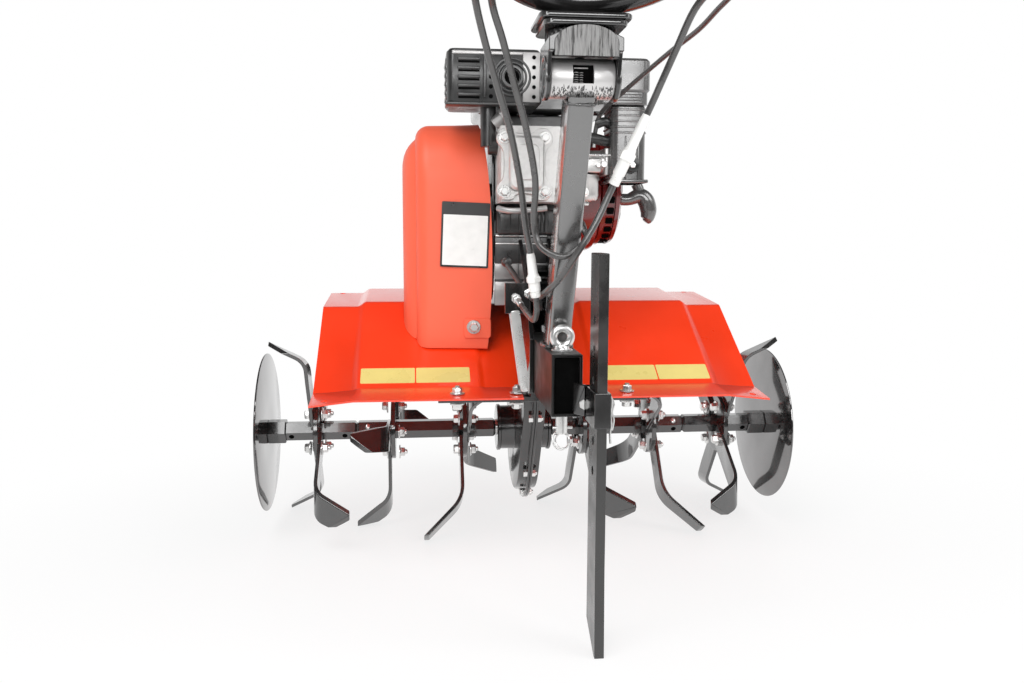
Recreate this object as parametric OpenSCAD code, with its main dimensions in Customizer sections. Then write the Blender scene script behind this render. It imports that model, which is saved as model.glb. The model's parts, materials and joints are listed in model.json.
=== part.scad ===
// Walk-behind rotavator: petrol engine on a belt and chain drive over a tined rotor.
// Millimetres. +X right, +Y forward, +Z up, floor at Z = 0.
// The modules work from the centre of the rotor axle, and place() sets them on the floor.

/* [Rotor] */
// Distance between the two side discs
disc_span = 900; // [860:5:960]
// Radius that the tine tips sweep
tip_r = 199.5; // [190:0.5:202]
// Width of a tine's flat bar
tine_w = 40; // [32:1:44]
// Width of a tine at its tip
tine_tip_w = 30; // [22:1:32]
// Thickness of a tine
tine_t = 6; // [4:0.5:8]
// Angle that the end of a curled tine is bent sideways
tine_bend = 45; // [35:1:55]
// Angle that the end of a hoe-shaped tine is bent sideways
hoe_bend = 62; // [50:1:66]
// Slant of the bend line across a hoe-shaped tine
hoe_slant = 40; // [25:1:45]
// How far a hoe-shaped tine reaches sideways
hoe_reach = 58; // [45:1:70]
// Radius of a tine set's flange plate
flange_r = 52; // [46:1:60]
// Thickness of a tine set's flange plate
flange_t = 8; // [6:0.5:10]
// Width across flats of the hexagonal axle
hex_af = 30; // [26:1:32]
// Distance of the inner tine sets from the middle
set_inner_x = 106; // [100:1:112]
// Distance of the middle tine sets from the middle
set_middle_x = 231; // [225:1:240]
// Distance of the outer tine sets from the middle
set_outer_x = 363; // [355:1:370]
// Radius of a side disc
disc_r = 137.5; // [110:0.5:150]
// Thickness of a side disc
disc_t = 3; // [2:0.5:5]
// Depth of the dish in the middle of a side disc
dish_depth = 8; // [4:1:10]
// Radius of the dish
dish_r = 48; // [40:1:56]

/* [Chain case] */
// Half of the chain case's width
case_half_w = 17.5; // [15:0.5:18]
// Radius of the chain case around the axle
case_r = 110; // [100:1:116]
// How far the bolting flange stands out of the case
case_flange = 16; // [10:1:18]
// Radius of the bearing housings beside the case
housing_r = 39; // [32:1:44]
// Distance of a bearing housing's outer face from the middle
housing_x = 48; // [40:1:50]
// Diameter of the drive shaft
shaft_d = 28; // [24:1:30]

/* [Fenders] */
// Outer edge of a fender from the middle
fender_x = 345; // [330:1:360]
// Inner edge of a fender from the middle
fender_gap = 32; // [30:1:40]
// Distance of the step in a fender from the middle
fender_step_x = 281; // [260:1:300]
// Drop of the fender's outer panel
fender_step = 8; // [4:1:10]
// Thickness of the fender sheet
fender_t = 2.5; // [2:0.5:4]
// Height of the fender's top above the axle
fender_top = 232; // [225:1:245]
// Diameter of the holes for fender extensions
fender_hole_d = 10; // [8:0.5:12]

/* [Belt guard] */
// Radius of the belt guard's round ends
guard_r = 96; // [85:1:105]
// Inner face of the belt guard from the middle
guard_x0 = 68; // [64:1:72]
// Width of the belt guard
guard_w = 120; // [100:1:130]
// Height of the raised panel on the guard's outer face
guard_step = 22; // [10:1:26]
// How far the raised panel is set in from the guard's edge
guard_inset = 45; // [35:1:55]
// Rounding of the guard's edges
guard_round = 13; // [8:1:16]
// Thickness of the guard's sheet
guard_t = 3; // [2:0.5:4]

/* [Frame] */
// Height of the engine bed above the axle
bed_z = 344; // [335:1:355]
// Thickness of the bed and frame plates
plate_t = 6; // [4:0.5:8]
// Width of the hitch receiver tube
hitch_w = 40; // [36:1:44]
// Height of the hitch receiver tube
hitch_h = 80; // [70:1:86]
// Wall of the hitch receiver tube
hitch_t = 4; // [3:0.5:5]
// Height of the hitch receiver's underside above the axle
hitch_z = 115; // [110:1:120]
// Distance of the hitch receiver's rear end behind the axle
hitch_rear = 471; // [460:1:480]
// Diameter of the hitch pin
hitch_pin_d = 16; // [12:0.5:18]
// Width of the stem
stem_w = 30; // [26:1:36]
// Depth of the stem
stem_d = 50; // [44:1:56]
// Wall of the stem
stem_t = 3; // [2:0.5:4]

/* [Drag stake] */
// Thickness of the drag stake
stake_t = 12; // [10:0.5:14]
// Width of the drag stake
stake_w = 50; // [44:1:56]
// Height of the drag stake's top above the floor
stake_top = 495; // [470:5:520]
// Diameter of the height holes in the stake
stake_hole_d = 11; // [8:0.5:13]
// Distance between the height holes
stake_pitch = 37; // [32:1:42]

/* [Handlebar] */
// Diameter of the tilt barrel
barrel_d = 45; // [42:1:50]
// Length of the tilt barrel
barrel_l = 74; // [68:1:80]
// Diameter of the tilt pin
tilt_pin_d = 20; // [16:1:24]
// Radius of the lower toothed swivel plate
swivel_r = 40; // [36:1:44]
// Width of the upper swivel plate
swivel_top_w = 104; // [92:1:112]
// Diameter of the handlebar tube
bar_d = 30; // [26:1:34]
// Wall of the handlebar tube
bar_t = 2.5; // [2:0.5:4]
// Radius of the bend in the middle of the handlebar
bar_bend_r = 110; // [95:1:125]
// Angle at which the handlebar's arms spread
bar_flare = 14; // [8:1:18]
// Length of a straight handlebar arm
bar_arm = 640; // [600:5:680]
// Rise of the handlebar towards the operator
bar_rise = 17; // [12:1:22]
// Diameter of the grips
grip_d = 37; // [36:1:42]
// Length of the grips
grip_l = 125; // [110:1:140]

/* [Engine] */
// Length of the crankcase along the crankshaft
crankcase_w = 150; // [140:1:160]
// Radius of the recoil starter's housing
recoil_r = 92; // [85:1:98]
// Width of the muffler
muffler_w = 144; // [130:1:150]
// Height of the muffler
muffler_h = 82; // [76:1:90]
// Width of the air cleaner
cleaner_w = 84; // [78:1:88]

/* [Hidden] */

$fn = 64;
// Overlap that makes a cut run past a face
cut = 1;
// How far welded pieces sink into each other
weld = 0.5;
// Clearance of pieces that slip together
fit = 0.1;
// Clearance of faces that turn past each other
run = 0.3;

// Colours
orange = [0.93, 0.16, 0.03];
black = [0.07, 0.07, 0.075];
dark_red = [0.35, 0.02, 0.02];
zinc = [0.72, 0.73, 0.75];
alloy = [0.62, 0.62, 0.62];
white = [0.9, 0.9, 0.88];

// Rotor: the sets stand at different angles, so that a front and a rear row of tips meet the floor
tines_per_set = 4;
rest_angle = 35;
tip_half_angle = asin(tine_tip_w / 2 / tip_r);
axle_h = tip_r * cos(rest_angle - tip_half_angle);
hex_r = hex_af / 2 / cos(30);
hex_wall = 4;
axle_gap = 2;
axle_x0 = housing_x + axle_gap;
disc_x = disc_span / 2;
tine_leg_r = 112;
tine_bend_r = 58;
hoe_leg_r = 146;
hoe_bend_r = 26;
tine_root_r = hex_r + 5;
tine_taper_r = 130;

// Fender outline from its rear lip over the top to the front edge, as (y, height above the axle)
fender_rise = 13;
lip_rear = [-284, fender_top - 126.5];
lip_front = [-222, fender_top - 119];
top_rear = [-45, fender_top - 1.5];
top_front = [112, fender_top + fender_rise];
front_edge = [240, fender_top - 62];
fender_line = [lip_rear, lip_front, top_rear, top_front, front_edge];
fender_hole_x = 324;
lip_hole_y = -269;
top_hole_y = 99;

// Chain case: lower centre on the axle, a bulge behind it and the input shaft above
case_bulge = [-80, 92];
case_bulge_r = 92;
case_top = [10, 224];
case_top_r = 70;
case_flange_t = 4;
case_bolts = [[-85, 205], [-40, 270], [40, 270]];

// Belt guard: round ends around the two pulleys, as (y, height above the axle)
guard_low = [-60, 185];
guard_high = [-60, 429];
guard_run = guard_high[1] - guard_low[1];
guard_rear = guard_low[0] - guard_r;
guard_back_t = 4;
nameplate_t = 0.8;
nameplate_low = [-149, 293];
nameplate_size = [76, 102];

// Frame and hitch
hitch_top = hitch_z + hitch_h;
hitch_front = -205;
hitch_pin_y = -428;
hitch_pin_low = 84;
hitch_eye_r = 11.5;
hitch_eye_wire = 4;
plate_x = hitch_w / 2;
crossbar_y = -253;
crossbar_w = 32;
crossbar_half = 158;
bed_x1 = 52;
bed_y = [-150, 70];
bed_flange_h = 34;
bed_leg_h = 94;
bed_leg_w = 34;
plate_outline = [
    [-300, hitch_z], [-300, hitch_top], [-230, 280], [bed_y[0], bed_z - plate_t],
    [60, bed_z - plate_t], [75, 250], [20, 225], [-90, 190], [-150, 150], [-175, hitch_z]
];

// Handlebar head
tilt_axis = [-535, 521];
stem_foot_y = -378;
stem_lean = atan2(stem_foot_y - tilt_axis[0], tilt_axis[1] - hitch_top);
stem_len = norm([stem_foot_y - tilt_axis[0], tilt_axis[1] - hitch_top]);
ear_r = 25;
ear_t = 4.5;
ear_gap = 1.5;
window = [24, 21];
swivel_y = -530;
swivel_z = 560;
swivel_t = 13;
swivel_teeth = 36;
swivel_top_d = 88;
swivel_corner = 14;
swivel_bolt_d = 12;
bar_lift = 5;
bar_z = swivel_z + 2 * swivel_t + run + bar_d / 2 + bar_lift;
arm_root = [bar_bend_r * cos(bar_flare), -bar_bend_r + bar_bend_r * sin(bar_flare)];
arm_dir = [sin(bar_flare), -cos(bar_flare)];
grip_cap = 8;
lever_at = bar_arm - grip_l - 40;
throttle_at = lever_at - 90;
bend_steps = 24;
bar_sides = 24;

// Stake: it stands on the floor, pinned in a sleeve behind the hitch
stake_x = 30;
stake_y = -518;
stake_foot = 105;
stake_rake = 31;
stake_tip = 6;
stake_heel = 4;
sleeve_t = 4;
sleeve_z = [115.5, 158.5];
insert_w = hitch_w - 2 * hitch_t - 2 * fit;
insert_h = 40;
insert_y = [-460, -395];
stake_first_hole = 304;
stake_holes = [-2, -1, 1, 2, 3];

// Engine: the crankshaft lies across, the cylinder faces the rear
crank = [-40, 420];
crankcase_x0 = -95;
crankcase_y = [-125, 48];
crankcase_h = 190;
cylinder_y = [-232, -125];
cylinder_z = 449;
fin_count = 9;
fin_t = 4;
cover_y = [-252, -232];
shroud_x = [crankcase_x0 + crankcase_w, 112];
recoil_x = [112, 152];
muffler_x1 = 4;
muffler_y = [-200, -104];
muffler_z = 539;
tank_z = crankcase_h + bed_z + 6;
tank_h = 68;
tank_x = [-88, 128];
tank_y = [-96, 92];
cleaner_x1 = 167;
cleaner_y = [-222, -138];
cleaner_z = [424, 540, 608];
carb_x = [56, 98];
carb_y = [-226, -150];

// Cables: radius, and routes through hand-chosen points (x, y, height above the axle). A cable is straight
// where its lower stretch meets its upper one, so their ends lie flat on each other.
cable_r = 3.5;
cable_sides = 8;
cable_bracket_y = [-300, -294];
left_lower = [
    [-48, -302, 256], [-41, -330, 245], [-37, -372, 236], [-34, -404, 233], [-33, -420, 244], [-34, -424, 261],
    [-43, -430, 324], [-50, -442, 353], [-61, -470, 409], [-77, -505, 466]
];
loop_lower = [
    [32, -151, 330], [33, -230, 345], [32, -320, 358], [28, -400, 361], [25, -440, 351], [21, -479, 339],
    [-1, -486, 321], [-17, -486, 319], [-31, -478, 326], [-39, -470, 338], [-44, -472, 363], [-45, -490, 410],
    [-59, -515, 466]
];
right_lower = [
    [-29, -301, 262], [-27, -340, 256], [-25, -380, 260], [-23, -436, 272], [-12, -474, 290], [5, -499, 322],
    [26, -502, 357], [47, -500, 401], [84, -520, 488]
];
throttle_lower = [
    [86, -190, 479.5], [87, -199, 505], [92, -214, 528], [104, -270, 543], [120, -345, 560], [137, -425, 577],
    [152, -490, 590]
];
adjuster_r = 6.5;
adjusters = [[left_lower[5], left_lower[6], 58], [right_lower[7], right_lower[8], 90]];
clamp_wall = 5;
clamp_foot = 2;
loop_aside = -10;
loop_lift = 2;
throttle_aside = 14;
throttle_lift = 6;
upper_lift = bar_d / 2 + clamp_wall + cable_r + 1;

// A point beside a handlebar arm, at a distance along the arm, a height over its axis and a distance outwards
function arm_point(side, along, lift, aside = 0) =
    let (u = arm_root[0] + along * arm_dir[0] + aside * cos(bar_flare),
         v = arm_root[1] + along * arm_dir[1] + aside * sin(bar_flare))
    [side * u, swivel_y + v * cos(bar_rise) + lift * sin(bar_rise),
     bar_z - v * sin(bar_rise) + lift * cos(bar_rise)];
// Quarters of the way along an arm to a lever, from the first to the lever itself
function arm_stops(first, end) = [for (k = [first : 4]) k * end / 4];
lever_end = lever_at + clamp_foot - run;
left_upper = [
    [-108, -556, 546], [-122, -590, 584], [-130, -640, 606],
    for (s = arm_stops(1, lever_end)) arm_point(-1, s, -upper_lift)
];
loop_upper = [
    [-92, -566, 556], [-105, -592, 584], [-112, -640, 600],
    for (s = arm_stops(1, lever_end)) arm_point(-1, s, loop_lift - upper_lift, loop_aside)
];
right_upper = [
    [107, -556, 556], [115, -590, 588], [124, -640, 606],
    for (s = arm_stops(1, lever_end)) arm_point(1, s, -upper_lift)
];
throttle_upper = [
    [163, -590, 612], [164, -650, 630],
    for (s = arm_stops(2, throttle_at - run)) arm_point(1, s, throttle_lift - upper_lift, throttle_aside)
];
lower_routes = [left_lower, loop_lower, right_lower, throttle_lower];
upper_routes = [left_upper, loop_upper, right_upper, throttle_upper];

// Sets a sub-part, drawn from the axle's centre, on the floor under the middle of the machine
grip_rear = arm_root[1] - (bar_arm + grip_cap) * cos(bar_flare);
grip_reach = grip_d / 2 * sqrt(1 - (cos(bar_flare) * cos(bar_rise)) ^ 2);
rear_reach = swivel_y + grip_rear * cos(bar_rise) - grip_reach;
axle_y = -(rear_reach + front_edge[0]) / 2;
module place() {
    translate([0, axle_y, axle_h])
        children();
}

// Mirrors a right-hand piece to the left where side is -1
module on_side(side) {
    mirror([side < 0 ? 1 : 0, 0, 0])
        children();
}

// Extrudes a (y, z) outline along X from x0 to x1
module across(x0, x1) {
    translate([x0, 0, 0])
        rotate([90, 0, 90])
            linear_extrude(x1 - x0)
                children();
}

// A cylinder along X from x0 to x1 at (y, z)
module bar_x(x0, x1, r, at = [0, 0]) {
    translate([x0, at[0], at[1]])
        rotate([0, 90, 0])
            cylinder(h = x1 - x0, r = r);
}

// A box between two corners
module block(low, high) {
    translate(low)
        cube(high - low);
}

// A box with its four edges along Z rounded
module rounded_block(low, high, r) {
    size = high - low;
    translate([low[0], low[1], low[2]])
        linear_extrude(size[2])
            rounded_square([size[0], size[1]], r);
}

// A rectangle from the origin with round corners
module rounded_square(size, r) {
    translate([r, 0])
        square([size[0] - 2 * r, size[1]]);
    translate([0, r])
        square([size[0], size[1] - 2 * r]);
    for (x = [r, size[0] - r], y = [r, size[1] - r])
        translate([x, y])
            circle(r);
}

// Unit normal of the step from a to b, to its left
function left_normal(a, b) = [a[1] - b[1], b[0] - a[0]] / norm(b - a);

// A bent line's points moved sideways by d, with mitred corners
function shifted(line, d) = [
    for (i = [0 : len(line) - 1])
        let (n0 = left_normal(line[max(i - 1, 0)], line[max(i, 1)]),
             n1 = left_normal(line[min(i, len(line) - 2)], line[min(i + 1, len(line) - 1)]),
             m = (n0 + n1) / norm(n0 + n1))
        line[i] + m * d / (m * n0)
];
function reversed(list) = [for (i = [len(list) - 1 : -1 : 0]) list[i]];

// Outline of a sheet of thickness t that lies to the right of a bent line
function sheet(line, t) = concat(line, reversed(shifted(line, -t)));

// Points of an arc about c
function arc(c, r, a0, a1, steps) = [
    for (i = [0 : steps]) c + r * [cos(a0 + (a1 - a0) * i / steps), sin(a0 + (a1 - a0) * i / steps)]
];

// A round bar swept along a route that never runs along the vector side
module swept(route, r, sides, side = [1, 0, 0]) {
    last = len(route) - 1;
    rings = [
        for (i = [0 : last])
            let (d = route[min(i + 1, last)] - route[max(i - 1, 0)],
                 t = d / norm(d),
                 u0 = cross(t, side),
                 u = u0 / norm(u0),
                 v = cross(t, u))
            for (k = [0 : sides - 1])
                route[i] + r * (u * cos(360 * k / sides) + v * sin(360 * k / sides))
    ];
    walls = [
        for (i = [0 : last - 1], k = [0 : sides - 1])
            let (a = i * sides + k, b = i * sides + (k + 1) % sides)
            for (f = [[b, a, a + sides], [b, a + sides, b + sides]]) f
    ];
    caps = [
        [for (k = [0 : sides - 1]) k],
        [for (k = [sides - 1 : -1 : 0]) last * sides + k]
    ];
    polyhedron(rings, concat(walls, caps));
}

// A hexagonal bar along X, with edges to the front and to the rear
module hex_bar(x0, x1, af) {
    translate([x0, 0, 0])
        rotate([0, 90, 0])
            rotate([0, 0, 30])
                cylinder(h = x1 - x0, r = af / 2 / cos(30), $fn = 6);
}

// Shaft that comes out of both sides of the chain case and carries the axle tubes
module drive_shaft() {
    color(zinc)
        place()
            bar_x(-set_inner_x, set_inner_x, shaft_d / 2 - fit - hex_wall);
    color(zinc)
        place()
            bar_x(-axle_x0, axle_x0, shaft_d / 2);
}

// Hexagonal axle tubes with the sockets that carry the discs
module axles() {
    collar_l = 31;
    collar_af = hex_af + 8;
    color(black)
        place()
            for (side = [-1, 1])
                on_side(side)
                    difference() {
                        union() {
                            hex_bar(axle_x0, disc_x - disc_t / 2, hex_af);
                            hex_bar(disc_x - disc_t / 2 - collar_l, disc_x - disc_t / 2, collar_af);
                        }
                        bar_x(axle_x0 - cut, disc_x - collar_l, shaft_d / 2 - hex_wall);
                    }
}

// One tine: a flat leg whose outer end is bent towards +X along a line with a slant, and ends at the radius r
module tine(leg_r, bend, bend_r, slant, reach, r) {
    bend_steps = 6;
    bend_line = arc([bend_r, 0], bend_r, 180, 180 - bend, bend_steps);
    end_dir = [sin(bend), cos(bend)];
    centre = concat([[0, -tip_r]], bend_line, [bend_line[bend_steps] + tip_r * end_dir]);
    intersection() {
        translate([0, 0, leg_r])
            rotate([slant, 0, 0])
                rotate([90, 0, 0])
                    linear_extrude(2 * tip_r, center = true)
                        polygon(sheet(shifted(centre, tine_t / 2), tine_t));
        across(-tine_t, reach)
            intersection() {
                polygon([
                    [-tine_w / 2, tine_root_r], [tine_w / 2, tine_root_r], [tine_w / 2, tine_taper_r],
                    [tine_tip_w / 2, r], [-tine_tip_w / 2, r], [-tine_w / 2, tine_taper_r]
                ]);
                circle(r);
            }
    }
}

// Flange plate with its tines. The first tine points down and to the rear by the lead angle, the others
// follow towards the front. hands tells which way each of them is bent, 1 to the right and -1 to the left.
// r is the radius of the tips.
module tine_set(x, lead, hands, hoe, r = tip_r) {
    color(black)
        place()
            translate([x, 0, 0])
                difference() {
                    union() {
                        bar_x(-flange_t / 2, flange_t / 2, flange_r);
                        for (i = [0 : tines_per_set - 1])
                            rotate([180 - lead + i * 360 / tines_per_set, 0, 0])
                                on_side(hands[i])
                                    translate([(flange_t + tine_t) / 2 - weld, 0, 0])
                                        if (hoe)
                                            tine(hoe_leg_r - tip_r + r, hoe_bend, hoe_bend_r, -hoe_slant,
                                                 hoe_reach, r);
                                        else
                                            tine(tine_leg_r, tine_bend, tine_bend_r, 0, tip_r, r);
                    }
                    hex_bar(-flange_t, flange_t, hex_af + 2 * fit);
                }
}
lead_a = rest_angle;
lead_b = 90 - rest_angle;
lead_mid = 5;
floor_gap = 1.5;
mid_tip_r = axle_h - floor_gap;
module tine_set_left_inner() { tine_set(-set_inner_x, lead_a, [-1, 1, -1, 1], false); }
module tine_set_left_middle() { tine_set(-set_middle_x, lead_mid, [-1, 1, 1, -1], true, mid_tip_r); }
module tine_set_left_outer() { tine_set(-set_outer_x, lead_b, [1, -1, 1, -1], true); }
module tine_set_right_inner() { tine_set(set_inner_x, lead_b, [1, -1, 1, -1], true); }
module tine_set_right_middle() { tine_set(set_middle_x, lead_a, [1, -1, 1, -1], false); }
module tine_set_right_outer() { tine_set(set_outer_x, lead_b, [-1, 1, -1, 1], true); }

// Side discs with a shallow dish in their middle
module discs() {
    dish_slope = 10;
    color(black)
        place()
            for (side = [-1, 1])
                on_side(side)
                    translate([disc_x - disc_t / 2, 0, 0])
                        rotate([0, 90, 0])
                            rotate_extrude()
                                polygon([
                                    [0, 0], [disc_r, 0], [disc_r, disc_t], [dish_r + dish_slope, disc_t],
                                    [dish_r, disc_t + dish_depth], [0, disc_t + dish_depth]
                                ]);
}

// Outline of the chain case, grown by a margin
module case_outline(grow) {
    hull() {
        circle(case_r + grow, $fn = 48);
        translate(case_bulge)
            circle(case_bulge_r + grow, $fn = 48);
        translate(case_top)
            circle(case_top_r + grow, $fn = 48);
    }
}

// Half of the chain case with its bolting flange, bearing housing and frame bosses
module chain_case(side) {
    boss_r = 13;
    color(black)
        place()
            on_side(side)
                difference() {
                    union() {
                        across(0, case_half_w)
                            case_outline(0);
                        across(0, case_flange_t)
                            case_outline(case_flange);
                        bar_x(0, housing_x, housing_r);
                        for (at = case_bolts)
                            bar_x(0, plate_x, boss_r, at);
                    }
                    bar_x(-cut, housing_x + cut, shaft_d / 2 + fit / 2);
                }
}
module chain_case_left() { chain_case(-1); }
module chain_case_right() { chain_case(1); }

// Fender of one side: a folded sheet whose outer panel lies a step lower
module fender(side) {
    low_line = [for (p = fender_line) p - [0, fender_step]];
    color(orange)
        place()
            on_side(side)
                difference() {
                    union() {
                        across(fender_gap, fender_step_x)
                            polygon(sheet(fender_line, fender_t));
                        across(fender_step_x - fender_t, fender_step_x)
                            polygon(concat(fender_line, reversed(shifted(low_line, -fender_t))));
                        across(fender_step_x - fender_t, fender_x)
                            polygon(sheet(low_line, fender_t));
                    }
                    for (y = [lip_hole_y, top_hole_y])
                        translate([fender_hole_x, y, 0])
                            cylinder(h = 2 * fender_top, d = fender_hole_d);
                }
}
module fender_left() { fender(-1); }
module fender_right() { fender(1); }

// Height of the fender's underside at the crossbar
lip_slope = (lip_front[1] - lip_rear[1]) / (lip_front[0] - lip_rear[0]);
lip_under = lip_rear[1] + (crossbar_y - crossbar_w / 2 - lip_rear[0]) * lip_slope - fender_t * sqrt(1 + lip_slope ^ 2);

// Bar under the fenders' rear lips, with a pad up to the hitch receiver
module rear_crossbar() {
    bar_h = 8;
    color(black)
        place() {
            block([-crossbar_half, crossbar_y - crossbar_w / 2, lip_under - bar_h],
                  [crossbar_half, crossbar_y + crossbar_w / 2, lip_under]);
            block([-hitch_w / 2, crossbar_y - crossbar_w / 2, lip_under - bar_h],
                  [hitch_w / 2, crossbar_y + crossbar_w / 2, hitch_z]);
        }
}

// Two plates that tie the chain case, the hitch receiver and the engine bed together
module frame_plates() {
    color(black)
        place()
            for (side = [-1, 1])
                on_side(side)
                    across(plate_x, plate_x + plate_t)
                        polygon(plate_outline);
}

// Plate that carries the engine, with down-turned flanges
module engine_bed() {
    bed_x = [-guard_x0 + guard_back_t, bed_x1];
    color(black)
        place() {
            block([bed_x[0], bed_y[0], bed_z - plate_t], [bed_x[1], bed_y[1], bed_z]);
            block([plate_x + plate_t, bed_y[0], bed_z - bed_leg_h],
                  [plate_x + plate_t + bed_leg_w, bed_y[0] + plate_t, bed_z - plate_t]);
            for (x = [bed_x[0], bed_x[1] - plate_t])
                block([x, bed_y[0], bed_z - bed_flange_h], [x + plate_t, bed_y[1], bed_z - plate_t]);
        }
}

// Cross-section of the belt guard's pan: x is the distance from its spine, y the width
function guard_section(t) =
    let (r = guard_r - t, w = guard_w - t, top = guard_w + guard_step - t, inner = guard_r - guard_inset - t)
    concat(
        [[0, 0], [r, 0]],
        arc([r - guard_round, w - guard_round], guard_round, 0, 90, 6),
        [[inner + guard_round / 2, w]],
        arc([inner - guard_round / 2, top - guard_round / 2], guard_round / 2, 0, 90, 4),
        [[0, top]]
    );

// Solid inside of the belt guard's outer or inner face
module guard_form(t) {
    rotate_extrude()
        polygon(guard_section(t));
    for (m = [0, 1])
        mirror([0, m, 0])
            rotate([90, 0, 90])
                linear_extrude(guard_run)
                    polygon(guard_section(t));
    translate([guard_run, 0, 0])
        rotate_extrude()
            polygon(guard_section(t));
}

// Round-ended outline over the two pulleys, as (y, z)
module guard_outline(r) {
    translate(guard_low - [r, 0])
        square([2 * r, guard_run]);
    for (at = [guard_low, guard_high])
        translate(at)
            circle(r);
}

// Everything under the left fender's upper face
module under_fender() {
    floor_z = -tip_r;
    across(-fender_x, 0)
        polygon(concat(shifted(fender_line, run), [[front_edge[0], floor_z], [lip_rear[0], floor_z]]));
}

// Belt guard on the left, cut to sit on the fender
module belt_guard() {
    color(orange)
        place()
            difference() {
                lay_guard(0, -guard_x0);
                lay_guard(guard_t, cut - guard_x0);
                under_fender();
            }
}

// Turns the guard's form so that its spine stands upright and its face looks to the left
module lay_guard(t, x) {
    translate([x, guard_low[0], guard_low[1]])
        rotate([0, -90, 0])
            guard_form(t);
}

// Plate that closes the belt guard towards the engine
module guard_back_plate() {
    shaft_hole_r = 22;
    color(black)
        place()
            difference() {
                across(-guard_x0, -guard_x0 + guard_back_t)
                    guard_outline(guard_r);
                bar_x(-guard_x0 - cut, -guard_x0 + guard_back_t + cut, shaft_hole_r, crank);
                under_fender();
            }
}

// Blank plate on the belt guard's rear face
module nameplate() {
    color(black)
        place()
            translate([nameplate_low[0], guard_rear - nameplate_t, nameplate_low[1]])
                cube([nameplate_size[0], nameplate_t, nameplate_size[1]]);
}

// Crankcase block with the power take-off boss and shaft
module crankcase() {
    x1 = crankcase_x0 + crankcase_w;
    color(black)
        place() {
            block([crankcase_x0 + 40, crankcase_y[0], bed_z], [x1, crankcase_y[1], bed_z + crankcase_h]);
            bar_x(-guard_x0 + guard_back_t, crankcase_x0 + 41, 52, crank);
            bar_x(-guard_x0 - 55, crankcase_x0 + 41, 11, crank);
        }
}

// Finned cylinder and head, facing the rear
fin_x = [-62, 38];
module cylinder_fins() {
    fin_depth = 12;
    fin_half = 56;
    core_half = fin_half - fin_depth;
    pitch = (cylinder_y[1] - cylinder_y[0] - fin_t) / (fin_count - 1);
    block([fin_x[0] + fin_depth, cylinder_y[0], cylinder_z - core_half],
          [fin_x[1] - fin_depth, cylinder_y[1], cylinder_z + core_half]);
    for (i = [0 : fin_count - 1])
        block([fin_x[0], cylinder_y[0] + i * pitch, cylinder_z - fin_half],
              [fin_x[1], cylinder_y[0] + i * pitch + fin_t, cylinder_z + fin_half]);
}
module cylinder_node() {
    color(alloy)
        place()
            cylinder_fins();
}

// Valve cover on the cylinder head
module valve_cover() {
    cover_x = [-68, 14];
    cover_z = [396, 500];
    color(alloy)
        place()
            translate([0, cover_y[1], 0])
                rotate([90, 0, 0])
                    translate([cover_x[0], cover_z[0], 0])
                        linear_extrude(cover_y[1] - cover_y[0])
                            rounded_square([cover_x[1] - cover_x[0], cover_z[1] - cover_z[0]], 16);
}

// Fan shroud beside the crankcase
module fan_shroud() {
    shroud_rim = 10;
    color(dark_red)
        place()
            bar_x(shroud_x[0], shroud_x[1], recoil_r + shroud_rim, crank);
}

// Recoil starter's round housing
module recoil_starter() {
    color(dark_red)
        place()
            bar_x(recoil_x[0], recoil_x[1], recoil_r, crank);
}

// Pull grip of the recoil starter
module recoil_grip() {
    grip_x = recoil_x[1] + 44;
    rope_r = 9;
    rope_at = [-86, 404];
    grip_low = 366;
    grip_len = 70;
    grip_r = 13;
    color(black)
        place() {
            bar_x(recoil_x[1], grip_x, rope_r, rope_at);
            translate([grip_x, rope_at[0], grip_low])
                cylinder(h = grip_len, r = grip_r);
        }
}

// Fuel tank over the crankcase
module fuel_tank() {
    color(black)
        place() {
            rounded_block([tank_x[0], tank_y[0], tank_z], [tank_x[1], tank_y[1], tank_z + tank_h], 24);
            for (x = [-40, 30])
                block([x, -60, bed_z + crankcase_h], [x + 20, 40, tank_z]);
        }
}

// Cap of the fuel tank
module fuel_cap() {
    color(black)
        place()
            translate([10, 10, tank_z + tank_h])
                cylinder(h = 22, r = 30);
}

// Muffler box
module muffler() {
    color(black)
        place()
            rounded_block([muffler_x1 - muffler_w, muffler_y[0], muffler_z],
                          [muffler_x1, muffler_y[1], muffler_z + muffler_h], 10);
}

// Exhaust pipe from the cylinder head up into the muffler
module exhaust_pipe() {
    pipe_r = 12;
    pipe_at = [-76, -172];
    pipe_z = cylinder_z + 30;
    color(black)
        place() {
            translate([pipe_at[0], pipe_at[1], pipe_z])
                cylinder(h = muffler_z - pipe_z, r = pipe_r);
            bar_x(pipe_at[0], fin_x[0], pipe_r, [pipe_at[1], pipe_z]);
        }
}

// Cap of the air cleaner
module air_cleaner_cap() {
    color(black)
        place()
            rounded_block([cleaner_x1 - cleaner_w, cleaner_y[0], cleaner_z[1]],
                          [cleaner_x1, cleaner_y[1], cleaner_z[2]], 12);
}

// Body of the air cleaner
module air_cleaner_body() {
    color(black)
        place()
            rounded_block([cleaner_x1 - cleaner_w + 26, cleaner_y[0] + 8, cleaner_z[0]],
                          [cleaner_x1 - 4, cleaner_y[1] - 8, cleaner_z[1]], 12);
}

// Carburettor with its float bowl
module carburettor() {
    bowl_z = 398;
    color(alloy)
        place() {
            block([fin_x[1], carb_y[0] + 20, 436], [cleaner_x1 - cleaner_w + 26, carb_y[1], 478]);
            translate([(carb_x[0] + carb_x[1]) / 2, (carb_y[0] + carb_y[1]) / 2 + 6, bowl_z])
                cylinder(h = 40, r = 20);
        }
}

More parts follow.
